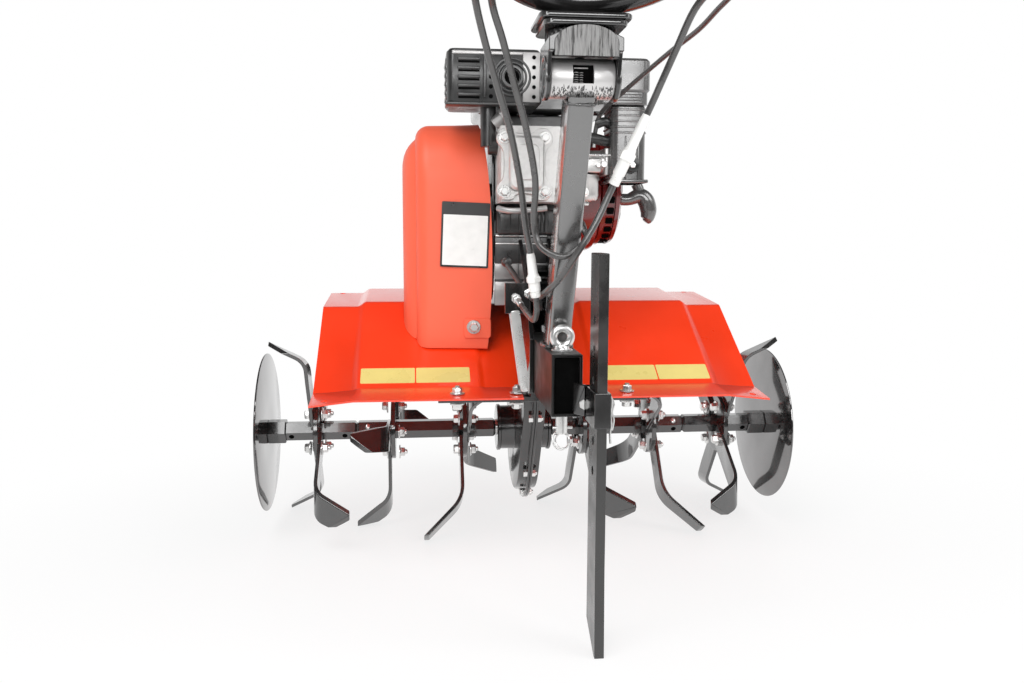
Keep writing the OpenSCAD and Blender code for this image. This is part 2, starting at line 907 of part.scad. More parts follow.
// Hitch receiver tube, open to the rear
module hitch_receiver() {
    inner = hitch_w / 2 - hitch_t;
    color(black)
        place()
            difference() {
                block([-hitch_w / 2, -hitch_rear, hitch_z], [hitch_w / 2, hitch_front, hitch_top]);
                block([-inner, -hitch_rear - cut, hitch_z + hitch_t], [inner, hitch_front + cut, hitch_top - hitch_t]);
                translate([0, hitch_pin_y, hitch_z - cut])
                    cylinder(h = hitch_h + 2 * cut, d = hitch_pin_d + 2 * fit);
            }
}

// Hitch pin with its eye
module hitch_pin() {
    eye_z = hitch_top + hitch_eye_r + hitch_eye_wire + 2;
    color(zinc)
        place()
            translate([0, hitch_pin_y, 0]) {
                translate([0, 0, hitch_pin_low])
                    cylinder(h = hitch_top + 4 - hitch_pin_low, d = hitch_pin_d);
                translate([0, 0, eye_z])
                    rotate([90, 0, 0])
                        rotate_extrude()
                            translate([hitch_eye_r, 0])
                                circle(hitch_eye_wire);
            }
}

// Stem that leans back from the hitch receiver and carries the tilt barrel
module stem() {
    half = barrel_l / 2;
    color(black)
        place()
            difference() {
                union() {
                    stem_tube(stem_w, stem_d, 0);
                    bar_x(-half, half, barrel_d / 2, tilt_axis);
                }
                difference() {
                    stem_tube(stem_w - 2 * stem_t, stem_d - 2 * stem_t, barrel_d);
                    bar_x(-half, half, barrel_d / 2, tilt_axis);
                }
                bar_x(-half - cut, half + cut, tilt_pin_d / 2 + fit, tilt_axis);
                translate([-window[0] / 2, tilt_axis[0] - barrel_d, tilt_axis[1] - window[1] / 2])
                    cube([window[0], barrel_d, window[1]]);
            }
}

// Leaning square bar from the top of the hitch receiver towards the tilt axis
module stem_tube(w, d, short) {
    difference() {
        translate([0, stem_foot_y, hitch_top])
            rotate([stem_lean, 0, 0])
                translate([-w / 2, -d / 2, -d])
                    cube([w, d, d + stem_len - short]);
        block([-w, stem_foot_y - 2 * d, hitch_top - 3 * d], [w, stem_foot_y + 2 * d, hitch_top]);
    }
}

// Pin of the tilt hinge, held in the barrel
module tilt_pin() {
    half = barrel_l / 2 + run + ear_t;
    color(zinc)
        place()
            bar_x(-half, half, tilt_pin_d / 2, tilt_axis);
}

// Bracket that holds the cable ends beside the left frame plate
module cable_bracket() {
    color(black)
        place() {
            block([-62, cable_bracket_y[0], 232], [-plate_x - plate_t, cable_bracket_y[1], 276]);
            block([-plate_x - 2 * plate_t, cable_bracket_y[1] - cut, 232], [-plate_x - plate_t, -222, 262]);
        }
}

// Sleeve for the stake, on a bar that is pinned in the hitch receiver
module stake_bracket() {
    arm_t = 8;
    inner = insert_w / 2;
    outer = [stake_t + 2 * sleeve_t + 2 * fit, stake_w + 2 * sleeve_t + 2 * fit];
    sleeve_x0 = stake_x - outer[0] / 2;
    sleeve_front = stake_y + outer[1] / 2;
    z0 = hitch_z + hitch_t + fit;
    color(black)
        place()
            difference() {
                union() {
                    block([-inner, insert_y[0], z0], [inner, insert_y[1], z0 + insert_h]);
                    translate([0, 0, z0])
                        linear_extrude(insert_h - weld)
                            polygon([
                                [inner - arm_t, insert_y[0] + cut], [inner - fit, insert_y[0] + cut],
                                [inner - fit, -hitch_rear - cut], [sleeve_x0 + arm_t, sleeve_front - weld],
                                [sleeve_x0 + weld, sleeve_front - weld], [inner - arm_t, -hitch_rear - cut]
                            ]);
                    block([sleeve_x0, stake_y - outer[1] / 2, sleeve_z[0]],
                          [sleeve_x0 + outer[0], sleeve_front, sleeve_z[1]]);
                }
                block([stake_x - stake_t / 2 - fit, stake_y - stake_w / 2 - fit, 0],
                      [stake_x + stake_t / 2 + fit, stake_y + stake_w / 2 + fit, 2 * hitch_top]);
                translate([0, hitch_pin_y, 0])
                    cylinder(h = hitch_top, d = hitch_pin_d + 2 * fit);
            }
}

// Drag stake with its row of height holes and its swept foot
module stake() {
    color(black)
        place()
            translate([stake_x - stake_t / 2, stake_y, -axle_h])
                difference() {
                    union() {
                        block([0, -stake_w / 2, stake_foot], [stake_t, stake_w / 2, stake_top]);
                        across(0, stake_t)
                            polygon([
                                [-stake_w / 2, stake_foot], [stake_w / 2, stake_foot], [stake_w / 2, stake_rake],
                                [stake_tip - stake_heel - stake_w / 2, 0], [-stake_heel - stake_w / 2, 0]
                            ]);
                    }
                    for (i = stake_holes)
                        bar_x(-cut, stake_t + cut, stake_hole_d / 2, [0, stake_first_hole + i * stake_pitch]);
                }
}

// Head that tilts on the barrel: two ears, a bridge with a half-moon plate and the lower toothed plate
module tilt_head() {
    half = barrel_l / 2 + run;
    bridge_y = [-574, -504];
    bridge_low = tilt_axis[1] + barrel_d / 2 + ear_gap;
    moon_t = 6;
    moon_top = [12, swivel_z + swivel_t];
    color(black)
        place()
            difference() {
                union() {
                    for (side = [-1, 1])
                        on_side(side)
                            across(half, half + ear_t) {
                                translate(tilt_axis)
                                    circle(ear_r);
                                polygon([
                                    tilt_axis - [ear_r, 0], tilt_axis + [ear_r, 0],
                                    [bridge_y[1], swivel_z], [bridge_y[0], swivel_z]
                                ]);
                            }
                    block([-half - ear_t, bridge_y[0], bridge_low], [half + ear_t, bridge_y[1], swivel_z]);
                    translate([0, bridge_y[0] + moon_t, 0])
                        rotate([90, 0, 0])
                            linear_extrude(moon_t)
                                polygon([
                                    [-half - ear_t, bridge_low], [half + ear_t, bridge_low],
                                    [half + ear_t, swivel_z], moon_top, [-moon_top[0], moon_top[1]],
                                    [-half - ear_t, swivel_z]
                                ]);
                    toothed_plate(swivel_z, swivel_r, swivel_teeth);
                }
                bar_x(-2 * half, 2 * half, tilt_pin_d / 2 + fit / 2, tilt_axis);
                translate([0, swivel_y, bridge_low - cut])
                    cylinder(h = 2 * swivel_t + 2 * barrel_d, d = swivel_bolt_d + fit);
            }
}

// Round plate with teeth around its edge
module toothed_plate(z, r, teeth) {
    tooth_r = 2.2;
    translate([0, swivel_y, z])
        difference() {
            cylinder(h = swivel_t, r = r);
            for (i = [0 : teeth - 1])
                rotate([0, 0, i * 360 / teeth])
                    translate([r, 0, -cut])
                        cylinder(h = swivel_t + 2 * cut, r = tooth_r);
        }
}

// Upper plate with the clamp bolt that the handlebar swivels on
module swivel_plate() {
    plate_low = swivel_z + swivel_t + run;
    color(black)
        place()
            translate([0, swivel_y, 0]) {
                rounded_block([-swivel_top_w / 2, -swivel_top_d / 2, plate_low],
                              [swivel_top_w / 2, swivel_top_d / 2, plate_low + swivel_t], swivel_corner);
                translate([0, 0, swivel_z])
                    cylinder(h = plate_low + cut - swivel_z, d = swivel_bolt_d);
            }
}

// Handlebar in its own plane: the bend in front, the arms towards the operator
module on_handlebar() {
    translate([0, swivel_y, bar_z])
        rotate([-bar_rise, 0, 0])
            children();
}
module arm_tube(from, length, d) {
    translate([arm_root[0] + from * arm_dir[0], arm_root[1] + from * arm_dir[1], 0])
        rotate([90, 0, bar_flare])
            cylinder(h = length, d = d);
}

// Line along the middle of the handlebar tube, from the left end around the bend to the right end
function bar_line(arm) =
    let (end = arm_root + arm * arm_dir)
    [
        [-end[0], end[1], 0],
        for (i = [0 : bend_steps])
            let (a = 180 - bar_flare - i * (180 - 2 * bar_flare) / bend_steps)
            [bar_bend_r * cos(a), bar_bend_r * sin(a) - bar_bend_r, 0],
        [end[0], end[1], 0]
    ];
module handlebar() {
    pad_half = 30;
    pad_y = [-24, 10];
    pad_low = swivel_z + 2 * swivel_t + run;
    color(black)
        place()
            difference() {
                union() {
                    on_handlebar()
                        swept(bar_line(bar_arm), bar_d / 2, bar_sides, [0, 0, 1]);
                    block([-pad_half, swivel_y + pad_y[0], pad_low], [pad_half, swivel_y + pad_y[1], bar_z]);
                }
                on_handlebar()
                    swept(bar_line(bar_arm + cut), bar_d / 2 - bar_t, bar_sides, [0, 0, 1]);
            }
}

// Rubber grips on the ends of the arms
module grips() {
    color(black)
        place()
            on_handlebar()
                for (side = [-1, 1])
                    on_side(side)
                        difference() {
                            arm_tube(bar_arm - grip_l, grip_l + grip_cap, grip_d);
                            arm_tube(bar_arm - grip_l - cut, grip_l + cut, bar_d + 2 * fit);
                        }
}

// Clutch levers under the grips and the throttle lever on the right arm
module control_levers() {
    lever_l = 150;
    lever_t = 8;
    lever_w = 10;
    foot = [12, 18, 36];
    drop = 52;
    thumb = [8, 14, 46];
    color(black)
        place()
            on_handlebar() {
                for (side = [-1, 1])
                    on_side(side)
                        lever_clamp(lever_at) {
                            translate([-foot[0] / 2, clamp_foot, -drop])
                                cube(foot);
                            translate([-lever_w / 2, clamp_foot, -drop])
                                cube([lever_w, lever_l, lever_t]);
                        }
                lever_clamp(throttle_at)
                    translate([-thumb[0] / 2, clamp_foot, bar_d / 2])
                        cube(thumb);
            }
}

// Ring around an arm, with a lever that reaches towards the operator
module lever_clamp(along) {
    clamp_l = 24;
    difference() {
        union() {
            arm_tube(along, clamp_l, bar_d + 2 * clamp_wall);
            translate([arm_root[0] + along * arm_dir[0], arm_root[1] + along * arm_dir[1], 0])
                rotate([0, 0, bar_flare])
                    mirror([0, 1, 0])
                        children();
        }
        arm_tube(along - cut, clamp_l + 2 * cut, bar_d + 2 * fit);
    }
}

// White adjusters on two of the cables
module cable_adjusters() {
    bore_r = cable_r + run;
    color(white)
        place()
            for (a = adjusters)
                along_step(a[0], a[1])
                    difference() {
                        cylinder(h = a[2], r = adjuster_r, center = true);
                        cylinder(h = a[2] + cut, r = bore_r, center = true);
                    }
}

// Sets a piece that lies along Z between two points of a route
module along_step(a, b) {
    d = b - a;
    tilt = acos(d[2] / norm(d));
    turn = atan2(d[1], d[0]);
    translate((a + b) / 2)
        rotate([0, tilt, turn])
            children();
}

// Where the two stretches of a cable meet, moved by d along the cable
function cable_meet(i, d) =
    let (low = lower_routes[i][len(lower_routes[i]) - 1], high = upper_routes[i][0])
    (low + high) / 2 + d * (high - low) / norm(high - low);

// Cables from the bracket and the engine up to the head
module cables_lower() {
    color(black)
        place()
            for (i = [0 : len(lower_routes) - 1])
                swept(concat(lower_routes[i], [cable_meet(i, -run / 2)]), cable_r, cable_sides);
}

// Cables from the head along the handlebar to the levers
module cables_upper() {
    color(black)
        place()
            for (i = [0 : len(upper_routes) - 1])
                swept(concat([cable_meet(i, run / 2)], upper_routes[i]), cable_r, cable_sides);
}

drive_shaft();
axles();
tine_set_left_inner();
tine_set_left_middle();
tine_set_left_outer();
tine_set_right_inner();
tine_set_right_middle();
tine_set_right_outer();
discs();
chain_case_left();
chain_case_right();
fender_left();
fender_right();
rear_crossbar();
frame_plates();
engine_bed();
belt_guard();
guard_back_plate();
nameplate();
crankcase();
cylinder_node();  // cylinder
valve_cover();
fan_shroud();
recoil_starter();
recoil_grip();
fuel_tank();
fuel_cap();
muffler();
exhaust_pipe();
air_cleaner_cap();
air_cleaner_body();
carburettor();
hitch_receiver();
hitch_pin();
stem();
tilt_pin();
cable_bracket();
stake_bracket();
stake();
tilt_head();
swivel_plate();
handlebar();
grips();
control_levers();
cable_adjusters();
cables_lower();
cables_upper();
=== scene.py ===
"""Looks of the walk-behind rotavator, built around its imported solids.

Shapes are drawn in millimetres from the middle of the rotor axle: x to the right, y forward, z up.
"""

import json
import random
from math import atan2, cos, inf, pi, radians, sin, sqrt, tan

import bmesh
import bpy
from mathutils import Matrix, Vector, noise


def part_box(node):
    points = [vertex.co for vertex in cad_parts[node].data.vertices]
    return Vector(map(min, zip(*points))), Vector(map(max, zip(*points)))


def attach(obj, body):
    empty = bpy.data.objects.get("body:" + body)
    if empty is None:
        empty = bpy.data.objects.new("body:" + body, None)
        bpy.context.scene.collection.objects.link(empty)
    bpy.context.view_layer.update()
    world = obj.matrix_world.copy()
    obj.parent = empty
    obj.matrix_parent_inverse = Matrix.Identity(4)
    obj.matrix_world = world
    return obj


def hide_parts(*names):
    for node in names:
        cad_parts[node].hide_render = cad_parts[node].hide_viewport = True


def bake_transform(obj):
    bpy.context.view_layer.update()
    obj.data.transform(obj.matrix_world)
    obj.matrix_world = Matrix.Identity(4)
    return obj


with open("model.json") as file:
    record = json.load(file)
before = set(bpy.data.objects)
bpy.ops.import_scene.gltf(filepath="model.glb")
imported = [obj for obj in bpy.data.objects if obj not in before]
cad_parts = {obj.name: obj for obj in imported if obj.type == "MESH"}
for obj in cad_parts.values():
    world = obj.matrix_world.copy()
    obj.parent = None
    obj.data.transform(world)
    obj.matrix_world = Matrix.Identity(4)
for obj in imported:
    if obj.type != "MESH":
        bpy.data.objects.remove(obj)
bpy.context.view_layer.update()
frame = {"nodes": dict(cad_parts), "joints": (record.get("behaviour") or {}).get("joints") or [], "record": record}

MM = 0.001
record = frame["record"]
joints = {joint["name"]: joint for joint in frame["joints"]}
axle = Vector(joints["rotor_spin"]["pos_m"])
to_frame = Matrix.Translation(axle) @ Matrix.Scale(MM, 4)
body_of_node = {n: body for body, nodes in record["behaviour"]["bodies"].items() for n in nodes}
RIGHT = Vector((1, 0, 0))
FORWARD = Vector((0, 1, 0))
BACK = Vector((0, -1, 0))
UP = Vector((0, 0, 1))
DOWN = Vector((0, 0, -1))


def at(x, y, z):
    """A point given in millimetres from the axle, in the frame's metres."""
    return to_frame @ Vector((x, y, z))


def span(node):
    """Lowest and highest corner of a CAD node, in millimetres from the axle."""
    low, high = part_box(node)
    return (low - axle) / MM, (high - axle) / MM


# Materials


def add_node(tree, kind, inputs=(), **settings):
    """Outputs of a new shader node. Each input takes a value, or a link from another node's socket."""
    node = tree.nodes.new("ShaderNode" + kind)
    for name, value in settings.items():
        setattr(node, name, value)
    for key, value in dict(inputs).items():
        if isinstance(value, bpy.types.NodeSocket):
            tree.links.new(value, node.inputs[key])
        else:
            node.inputs[key].default_value = value
    return node.outputs


def add_object(name, data):
    """A new object in the scene."""
    made = bpy.data.objects.new(name, data)
    bpy.context.scene.collection.objects.link(made)
    return made


def map_range(tree, value, source, target, curve="LINEAR"):
    """Carries a value from one range over to another."""
    inputs = {"Value": value, "From Min": source[0], "From Max": source[1]}
    inputs.update({"To Min": target[0], "To Max": target[1]})
    return add_node(tree, "MapRange", inputs, interpolation_type=curve)["Result"]


def finish(name, colour, roughness, vary, bump, metallic=0.0, ior=1.5, coat=0.0,
           coat_roughness=0.05, stretch=(1, 1, 1), reach=0.2):
    """A procedural material.

    vary gives the scale of a noise, the tint it adds to the colour and its share in the roughness. A small
    reach makes it stark. bump gives the scale of a finer noise, its height in millimetres and its strength.
    """
    material = bpy.data.materials.new(name)
    material.use_nodes = True
    tree = material.node_tree
    shader = tree.nodes["Principled BSDF"].inputs
    shader["Metallic"].default_value = metallic
    shader["IOR"].default_value = ior
    shader["Coat Weight"].default_value = coat
    shader["Coat Roughness"].default_value = coat_roughness
    place = add_node(tree, "TexCoord")["Object"]

    def grain(scale, detail):
        mapped = add_node(tree, "Mapping", {"Vector": place, "Scale": stretch})["Vector"]
        return add_node(tree, "TexNoise", {"Vector": mapped, "Scale": scale, "Detail": detail})["Fac"]

    scale, tint, share = vary
    value = grain(scale, 4.0)
    around = (0.5 - reach, 0.5 + reach)
    darker, lighter = [(*[min(1, c * k) for c in colour], 1) for k in (1 - tint, 1 + tint)]
    tones = {"Factor": map_range(tree, value, around, (0, 1)), "A": darker, "B": lighter}
    tree.links.new(add_node(tree, "Mix", tones, data_type="RGBA")["Result"], shader["Base Color"])
    rough = map_range(tree, value, around, (roughness * (1 - share), roughness * (1 + share)))
    tree.links.new(rough, shader["Roughness"])
    scale, height_mm, strength = bump
    relief = {"Strength": strength, "Distance": height_mm * MM, "Height": grain(scale, 2.0)}
    tree.links.new(add_node(tree, "Bump", relief)["Normal"], shader["Normal"])
    return material


ALONG_X = (0.05, 1, 1)
ALONG_Z = (1, 1, 0.1)
orange_paint = finish("orange_paint", (0.94, 0.042, 0.003), 0.32, (9, 0.05, 0.15), (420, 0.05, 0.25),
                      ior=1.55, coat=1.0, coat_roughness=0.16)
# Orange of the moulded guard, its base colour paler than the fenders' to carry part of a painted whitish sheen.
guard_orange_painted_sheen = finish("guard_orange_painted_sheen", (0.93, 0.13, 0.06), 0.5, (7, 0.04, 0.12), (700, 0.04, 0.25),
                      ior=1.45, coat=0.15, coat_roughness=0.4)
black_paint = finish("black_paint", (0.011, 0.0105, 0.0105), 0.2, (30, 0.3, 0.35), (380, 0.05, 0.3),
                     ior=1.75, coat=0.5, coat_roughness=0.08)
tine_black = finish("tine_black", (0.022, 0.0215, 0.0215), 0.17, (45, 0.35, 0.4), (260, 0.08, 0.3),
                    ior=1.95, coat=0.5, coat_roughness=0.04)
disc_black = finish("disc_black", (0.2, 0.195, 0.195), 0.09, (12, 0.2, 0.3), (40, 0.05, 0.2),
                    metallic=0.9, coat=0.4, coat_roughness=0.03)
cast_black = finish("cast_black", (0.02, 0.02, 0.02), 0.38, (60, 0.3, 0.3), (700, 0.12, 0.5),
                    ior=1.7, coat=0.25, coat_roughness=0.2)
zinc_steel = finish("zinc_steel", (0.8, 0.8, 0.79), 0.3, (50, 0.06, 0.25), (500, 0.02, 0.15),
                    metallic=0.9)
cast_alloy = finish("cast_alloy", (0.7, 0.69, 0.68), 0.4, (70, 0.12, 0.25), (800, 0.15, 0.6), metallic=0.85)
red_paint = finish("red_paint", (0.14, 0.003, 0.003), 0.25, (20, 0.15, 0.3), (380, 0.05, 0.3),
                   ior=1.6, coat=0.8, coat_roughness=0.08)
gloss_plastic = finish("gloss_plastic", (0.07, 0.068, 0.067), 0.26, (40, 0.12, 0.2), (900, 0.02, 0.15),
                       ior=2.1, coat=0.6, coat_roughness=0.12)
pressed_steel = finish("pressed_steel", (0.42, 0.412, 0.408), 0.38, (35, 0.1, 0.25), (600, 0.04, 0.25),
                       metallic=0.7, coat=0.2)
brushed_black = finish("brushed_black", (0.11, 0.109, 0.108), 0.34, (420, 0.8, 0.3), (420, 0.2, 0.5),
                       metallic=0.9, stretch=ALONG_Z, reach=0.14)
black_plastic = finish("black_plastic", (0.018, 0.018, 0.018), 0.33, (50, 0.25, 0.25), (900, 0.08, 0.5),
                       ior=1.6)
# Dull, unreflective near-black: painted shade for the insides of holes, slots, vents and open ends.
painted_hole_shade = finish("painted_hole_shade", (0.003, 0.003, 0.003), 0.9, (80, 0.3, 0.2), (400, 0.05, 0.3), ior=1.08)
cable_black = finish("cable_black", (0.05, 0.048, 0.047), 0.3, (60, 0.2, 0.3), (500, 0.05, 0.3),
                     ior=1.9)
grip_rubber = finish("grip_rubber", (0.02, 0.02, 0.02), 0.62, (90, 0.25, 0.15), (1200, 0.1, 0.6))
white_plastic = finish("white_plastic", (0.84, 0.84, 0.82), 0.36, (60, 0.04, 0.25), (700, 0.04, 0.3),
                       ior=1.5)
yellow_film = finish("yellow_film", (0.74, 0.61, 0.2), 0.3, (25, 0.05, 0.2), (300, 0.03, 0.25),
                     ior=1.5, coat=0.3, coat_roughness=0.1)
stem_black = finish("stem_black", (0.045, 0.044, 0.0435), 0.26, (25, 0.2, 0.3), (380, 0.05, 0.3),
                    ior=2.5, coat=1.0, coat_roughness=0.1)
barrel_steel = finish("barrel_steel", (0.72, 0.71, 0.705), 0.46, (45, 0.2, 0.3), (260, 0.15, 0.4),
                      metallic=0.75, coat=0.3, coat_roughness=0.1, stretch=ALONG_X)
satin_black = finish("satin_black", (0.011, 0.0105, 0.0105), 0.42, (30, 0.3, 0.2), (380, 0.05, 0.3), ior=1.4)
stake_black = finish("stake_black", (0.013, 0.0125, 0.012), 0.3, (30, 0.3, 0.3), (340, 0.06, 0.35),
                     ior=1.75, coat=0.2, coat_roughness=0.15)
weld_steel = finish("weld_steel", (0.02, 0.019, 0.019), 0.3, (200, 0.4, 0.4), (500, 0.4, 0.8),
                    ior=2.0, coat=0.4)


# Shapes


def frame_of(direction):
    """A unit vector along a direction, and two that stand square to it and to each other."""
    axis = Vector(direction).normalized()
    u = axis.cross(RIGHT if abs(axis.x) < 0.9 else FORWARD).normalized()
    return axis, u, axis.cross(u)


def turns(count, first=0.0):
    """Angles in even steps around a whole turn."""
    return [first + 2 * pi * i / count for i in range(count)]


def basis(u, v, w, origin):
    """The matrix that takes (u, v, w) along three directions from an origin."""
    return Matrix.Translation(origin) @ Matrix((u, v, w)).transposed().to_4x4()


def rear_face(y):
    """The matrix of an upright face that looks backwards: u to the right, v up, w out of it."""
    return basis(RIGHT, UP, BACK, (0, y, 0))


class Shape:
    """A mesh under construction."""

    def __init__(self):
        self.bm = bmesh.new()

    def in_frame(self):
        """The mesh in the frame's metres, with its faces turned outwards."""
        bmesh.ops.recalc_face_normals(self.bm, faces=self.bm.faces)
        self.bm.transform(to_frame)
        return self.bm

    def loops(self, rings, closed=False):
        """Walls between rings of points. The first and last ring are capped, or joined where it is closed."""
        made = [[self.bm.verts.new(point) for point in ring] for ring in rings]
        pairs = list(zip(made, made[1:] + made[:1]))
        for a, b in pairs if closed else pairs[:-1]:
            for i in range(max(len(a), len(b))):
                corners = [a[i % len(a)], a[(i + 1) % len(a)], b[(i + 1) % len(b)], b[i % len(b)]]
                self.bm.faces.new(list(dict.fromkeys(corners)))
        for ring in () if closed else (made[0], made[-1]):
            if len(ring) > 2:
                self.bm.faces.new(ring)
        return self

    def turned(self, start, direction, profile, sides=32, turn=0.0):
        """A turned body: profile gives (distance along the direction, radius)."""
        axis, u, v = frame_of(direction)
        rings = []
        for along, radius in profile:
            centre = Vector(start) + axis * along
            ring = [centre + radius * (u * cos(a) + v * sin(a)) for a in turns(sides, turn)]
            rings.append(ring if radius else [centre])
        return self.loops(rings)

    def rod(self, start, end, radius, sides=24, chamfer=0.0):
        """A round bar between two points."""
        length = (Vector(end) - Vector(start)).length
        c = min(chamfer, radius / 2, length / 2)
        profile = [(0, radius), (length, radius)]
        if c:
            profile = [(0, radius - c), (c, radius), (length - c, radius), (length, radius - c)]
        return self.turned(start, Vector(end) - Vector(start), profile, sides)

    def prism(self, outline, place, depth, edge=0.0):
        """An outline (u, v) pushed along w by depth, with its edges chamfered. place maps (u, v, w)."""
        middle = Vector((sum(p[0] for p in outline), sum(p[1] for p in outline))) / len(outline)
        levels = [(0, edge), (edge, 0), (depth - edge, 0), (depth, edge)] if edge else [(0, 0), (depth, 0)]
        rings = []
        for w, inset in levels:
            ring = []
            for p in outline:
                d = Vector((p[0], p[1])) - middle
                q = middle + d * max(0, 1 - inset / max(d.length, 0.001))
                ring.append(place @ Vector((q.x, q.y, w)))
            rings.append(ring)
        return self.loops(rings)

    def block(self, low, high, edge=0.0):
        """A box between two corners, its edges rounded."""
        size = Vector(high) - Vector(low)
        middle = (Vector(high) + Vector(low)) / 2
        place = Matrix.Translation(middle) @ Matrix.Diagonal((*size, 1))
        made = bmesh.ops.create_cube(self.bm, size=1, matrix=place)["verts"]
        if edge:
            edges = list(dict.fromkeys(e for v in made for e in v.link_edges))
            bmesh.ops.bevel(self.bm, geom=edges, offset=edge, segments=3, profile=0.5, affect="EDGES")
        return self

    def row(self, count, step, low, high, edge=0.0):
        """Equal blocks, each a step further than the one before."""
        for k in range(count):
            move = Vector(step) * k
            self.block(Vector(low) + move, Vector(high) + move, edge)
        return self

    def sweep(self, points, radius, sides=12, squash=1.0):
        """A round bar along points; radius is one number or one for each point."""
        radii = radius if isinstance(radius, (list, tuple)) else [radius] * len(points)
        points = [Vector(p) for p in points]
        rings = []
        u = None
        for i, point in enumerate(points):
            ahead = points[min(i + 1, len(points) - 1)]
            behind = points[max(i - 1, 0)]
            tangent = (ahead - behind).normalized()
            u = frame_of(tangent)[1] if u is None else (u - tangent * u.dot(tangent)).normalized()
            v = tangent.cross(u)
            circle = [u * cos(a) + squash * v * sin(a) for a in turns(sides)]
            rings.append([point + radii[i] * out for out in circle])
        return self.loops(rings)

    def ring(self, centre, direction, radius, wire, steps=40, sides=14):
        """A closed round wire about a direction."""
        axis, u, v = frame_of(direction)
        rings = []
        for a in turns(steps):
            out = u * cos(a) + v * sin(a)
            rings.append([Vector(centre) + out * (radius + wire * cos(b)) + axis * wire * sin(b)
                          for b in turns(sides)])
        return self.loops(rings, closed=True)

    def hexagon(self, start, direction, across, height, turn=0.0):
        """A hexagonal head with a chamfered top."""
        r = across / sqrt(3)
        return self.turned(start, direction, [(0, r), (height * 0.8, r), (height, r * 0.84)], 6, turn)

    def bolt(self, start, direction, across=13.0, washer=True, stud=0.0):
        """A bolt head, or a nut where the stud stands out of it, on its washer."""
        axis = Vector(direction).normalized()
        seat = Vector(start)
        if washer:
            thick = across * 0.16
            r = across * 0.86
            self.turned(seat, axis, [(0, r), (thick * 0.6, r), (thick, r * 0.93), (thick, across * 0.3)], 28)
            seat = seat + axis * thick
        height = across * 0.58
        self.hexagon(seat, axis, across, height, turn=seat.x * 0.7 + seat.z)
        if stud:
            r = across * 0.3
            self.turned(seat + axis * height, axis, [(-1, r), (stud * 0.7, r), (stud, across * 0.22)], 16)
        return self


def catmull(points, steps):
    """A smooth line through points."""
    points = [Vector(p) for p in points]
    line = []
    for i in range(len(points) - 1):
        p0 = points[max(i - 1, 0)]
        p1, p2 = points[i], points[i + 1]
        p3 = points[min(i + 2, len(points) - 1)]
        for k in range(steps):
            t = k / steps
            line.append(0.5 * (2 * p1 + (p2 - p0) * t + (2 * p0 - 5 * p1 + 4 * p2 - p3) * t * t
                               + (3 * p1 - p0 - 3 * p2 + p3) * t ** 3))
    line.append(points[-1])
    return line


def rounded_outline(low, high, r, steps=6):
    """A rectangle with round corners, as points (u, v)."""
    corners = [(high[0] - r, high[1] - r, 0), (low[0] + r, high[1] - r, 90),
               (low[0] + r, low[1] + r, 180), (high[0] - r, low[1] + r, 270)]
    points = []
    for cx, cy, start in corners:
        for i in range(steps + 1):
            a = radians(start + 90 * i / steps)
            points.append((cx + r * cos(a), cy + r * sin(a)))
    return points


def smooth(mesh, sharp):
    """Smooth shading, with the edges over an angle kept sharp."""
    mesh.polygons.foreach_set("use_smooth", [True] * len(mesh.polygons))
    mesh.set_sharp_from_angle(angle=radians(sharp))


def show(name, bm, material, sharp):
    """An object made of a finished mesh."""
    mesh = bpy.data.meshes.new(name)
    bm.to_mesh(mesh)
    bm.free()
    smooth(mesh, sharp)
    if material:
        mesh.materials.append(material)
    return add_object(name, mesh)


def stand_for(made, node):
    """Puts an object in the place of a CAD node, whose body it takes, and hides the node."""
    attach(made, body_of_node[node])
    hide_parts(node)
    return made


def piece(name, shape, material, node=None, body="frame", sharp=38.0):
    """An object that stands for a node or rides on a body. With body None it is left unattached."""
    made = show(name, shape.in_frame(), material, sharp)
    if node:
        return stand_for(made, node)
    if body:
        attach(made, body)
    return made


def fasten(name, places, direction, across, **options):
    """Bolts that look the same way, as one piece."""
    shape = Shape()
    for place in places:
        shape.bolt(place, direction, across, **options)
    piece(name, shape, zinc_steel)


def dress(node, material, edge=1.0, segments=2, sharp=35.0):
    """A copy of a CAD node with rounded edges, which stands for it."""
    bm = bmesh.new()
    bm.from_mesh(frame["nodes"][node].data)
    bmesh.ops.remove_doubles(bm, verts=bm.verts, dist=0.01 * MM)
    bmesh.ops.dissolve_limit(bm, angle_limit=radians(0.5), verts=bm.verts, edges=bm.edges)
    made = show(node + "_dressed", bm, material, sharp)
    bevel = made.modifiers.new("edges", "BEVEL")
    bevel.width = edge * MM
    bevel.segments = segments
    bevel.limit_method = "ANGLE"
    bevel.angle_limit = radians(sharp)
    bevel.use_clamp_overlap = False
    bevel.harden_normals = True
    return stand_for(made, node)


# Camera, light and floor

EYE = at(-187.84, -1554.34, 345.04)
YAW = 0.108
PITCH = 0.121
ROLL = 0.003
LENS = 30.957
SENSOR = 36.0


def make_camera():
    """The camera where the photograph was taken, turned by its yaw, pitch and roll."""
    camera = add_object("camera", bpy.data.cameras.new("camera"))
    camera.data.sensor_width = SENSOR
    camera.data.sensor_fit = "HORIZONTAL"
    camera.data.lens = LENS
    ahead = Vector((sin(YAW) * cos(PITCH), cos(YAW) * cos(PITCH), -sin(PITCH)))
    level = Vector((cos(YAW), -sin(YAW), 0))
    above = level.cross(ahead)
    side = level * cos(ROLL) + above * sin(ROLL)
    top = above * cos(ROLL) - level * sin(ROLL)
    turn = Matrix((side, top, -ahead)).transposed().to_4x4()
    camera.matrix_world = Matrix.Translation(EYE) @ turn
    bpy.context.scene.camera = camera


def make_lamp(name, place, aim, size, power):
    """A soft lamp that looks at a point."""
    lamp = add_object(name, bpy.data.lights.new(name, "AREA"))
    lamp.data.shape = "RECTANGLE"
    lamp.data.size, lamp.data.size_y = size
    lamp.data.energy = power
    lamp.location = place
    lamp.rotation_euler = (Vector(aim) - Vector(place)).to_track_quat("-Z", "Y").to_euler()


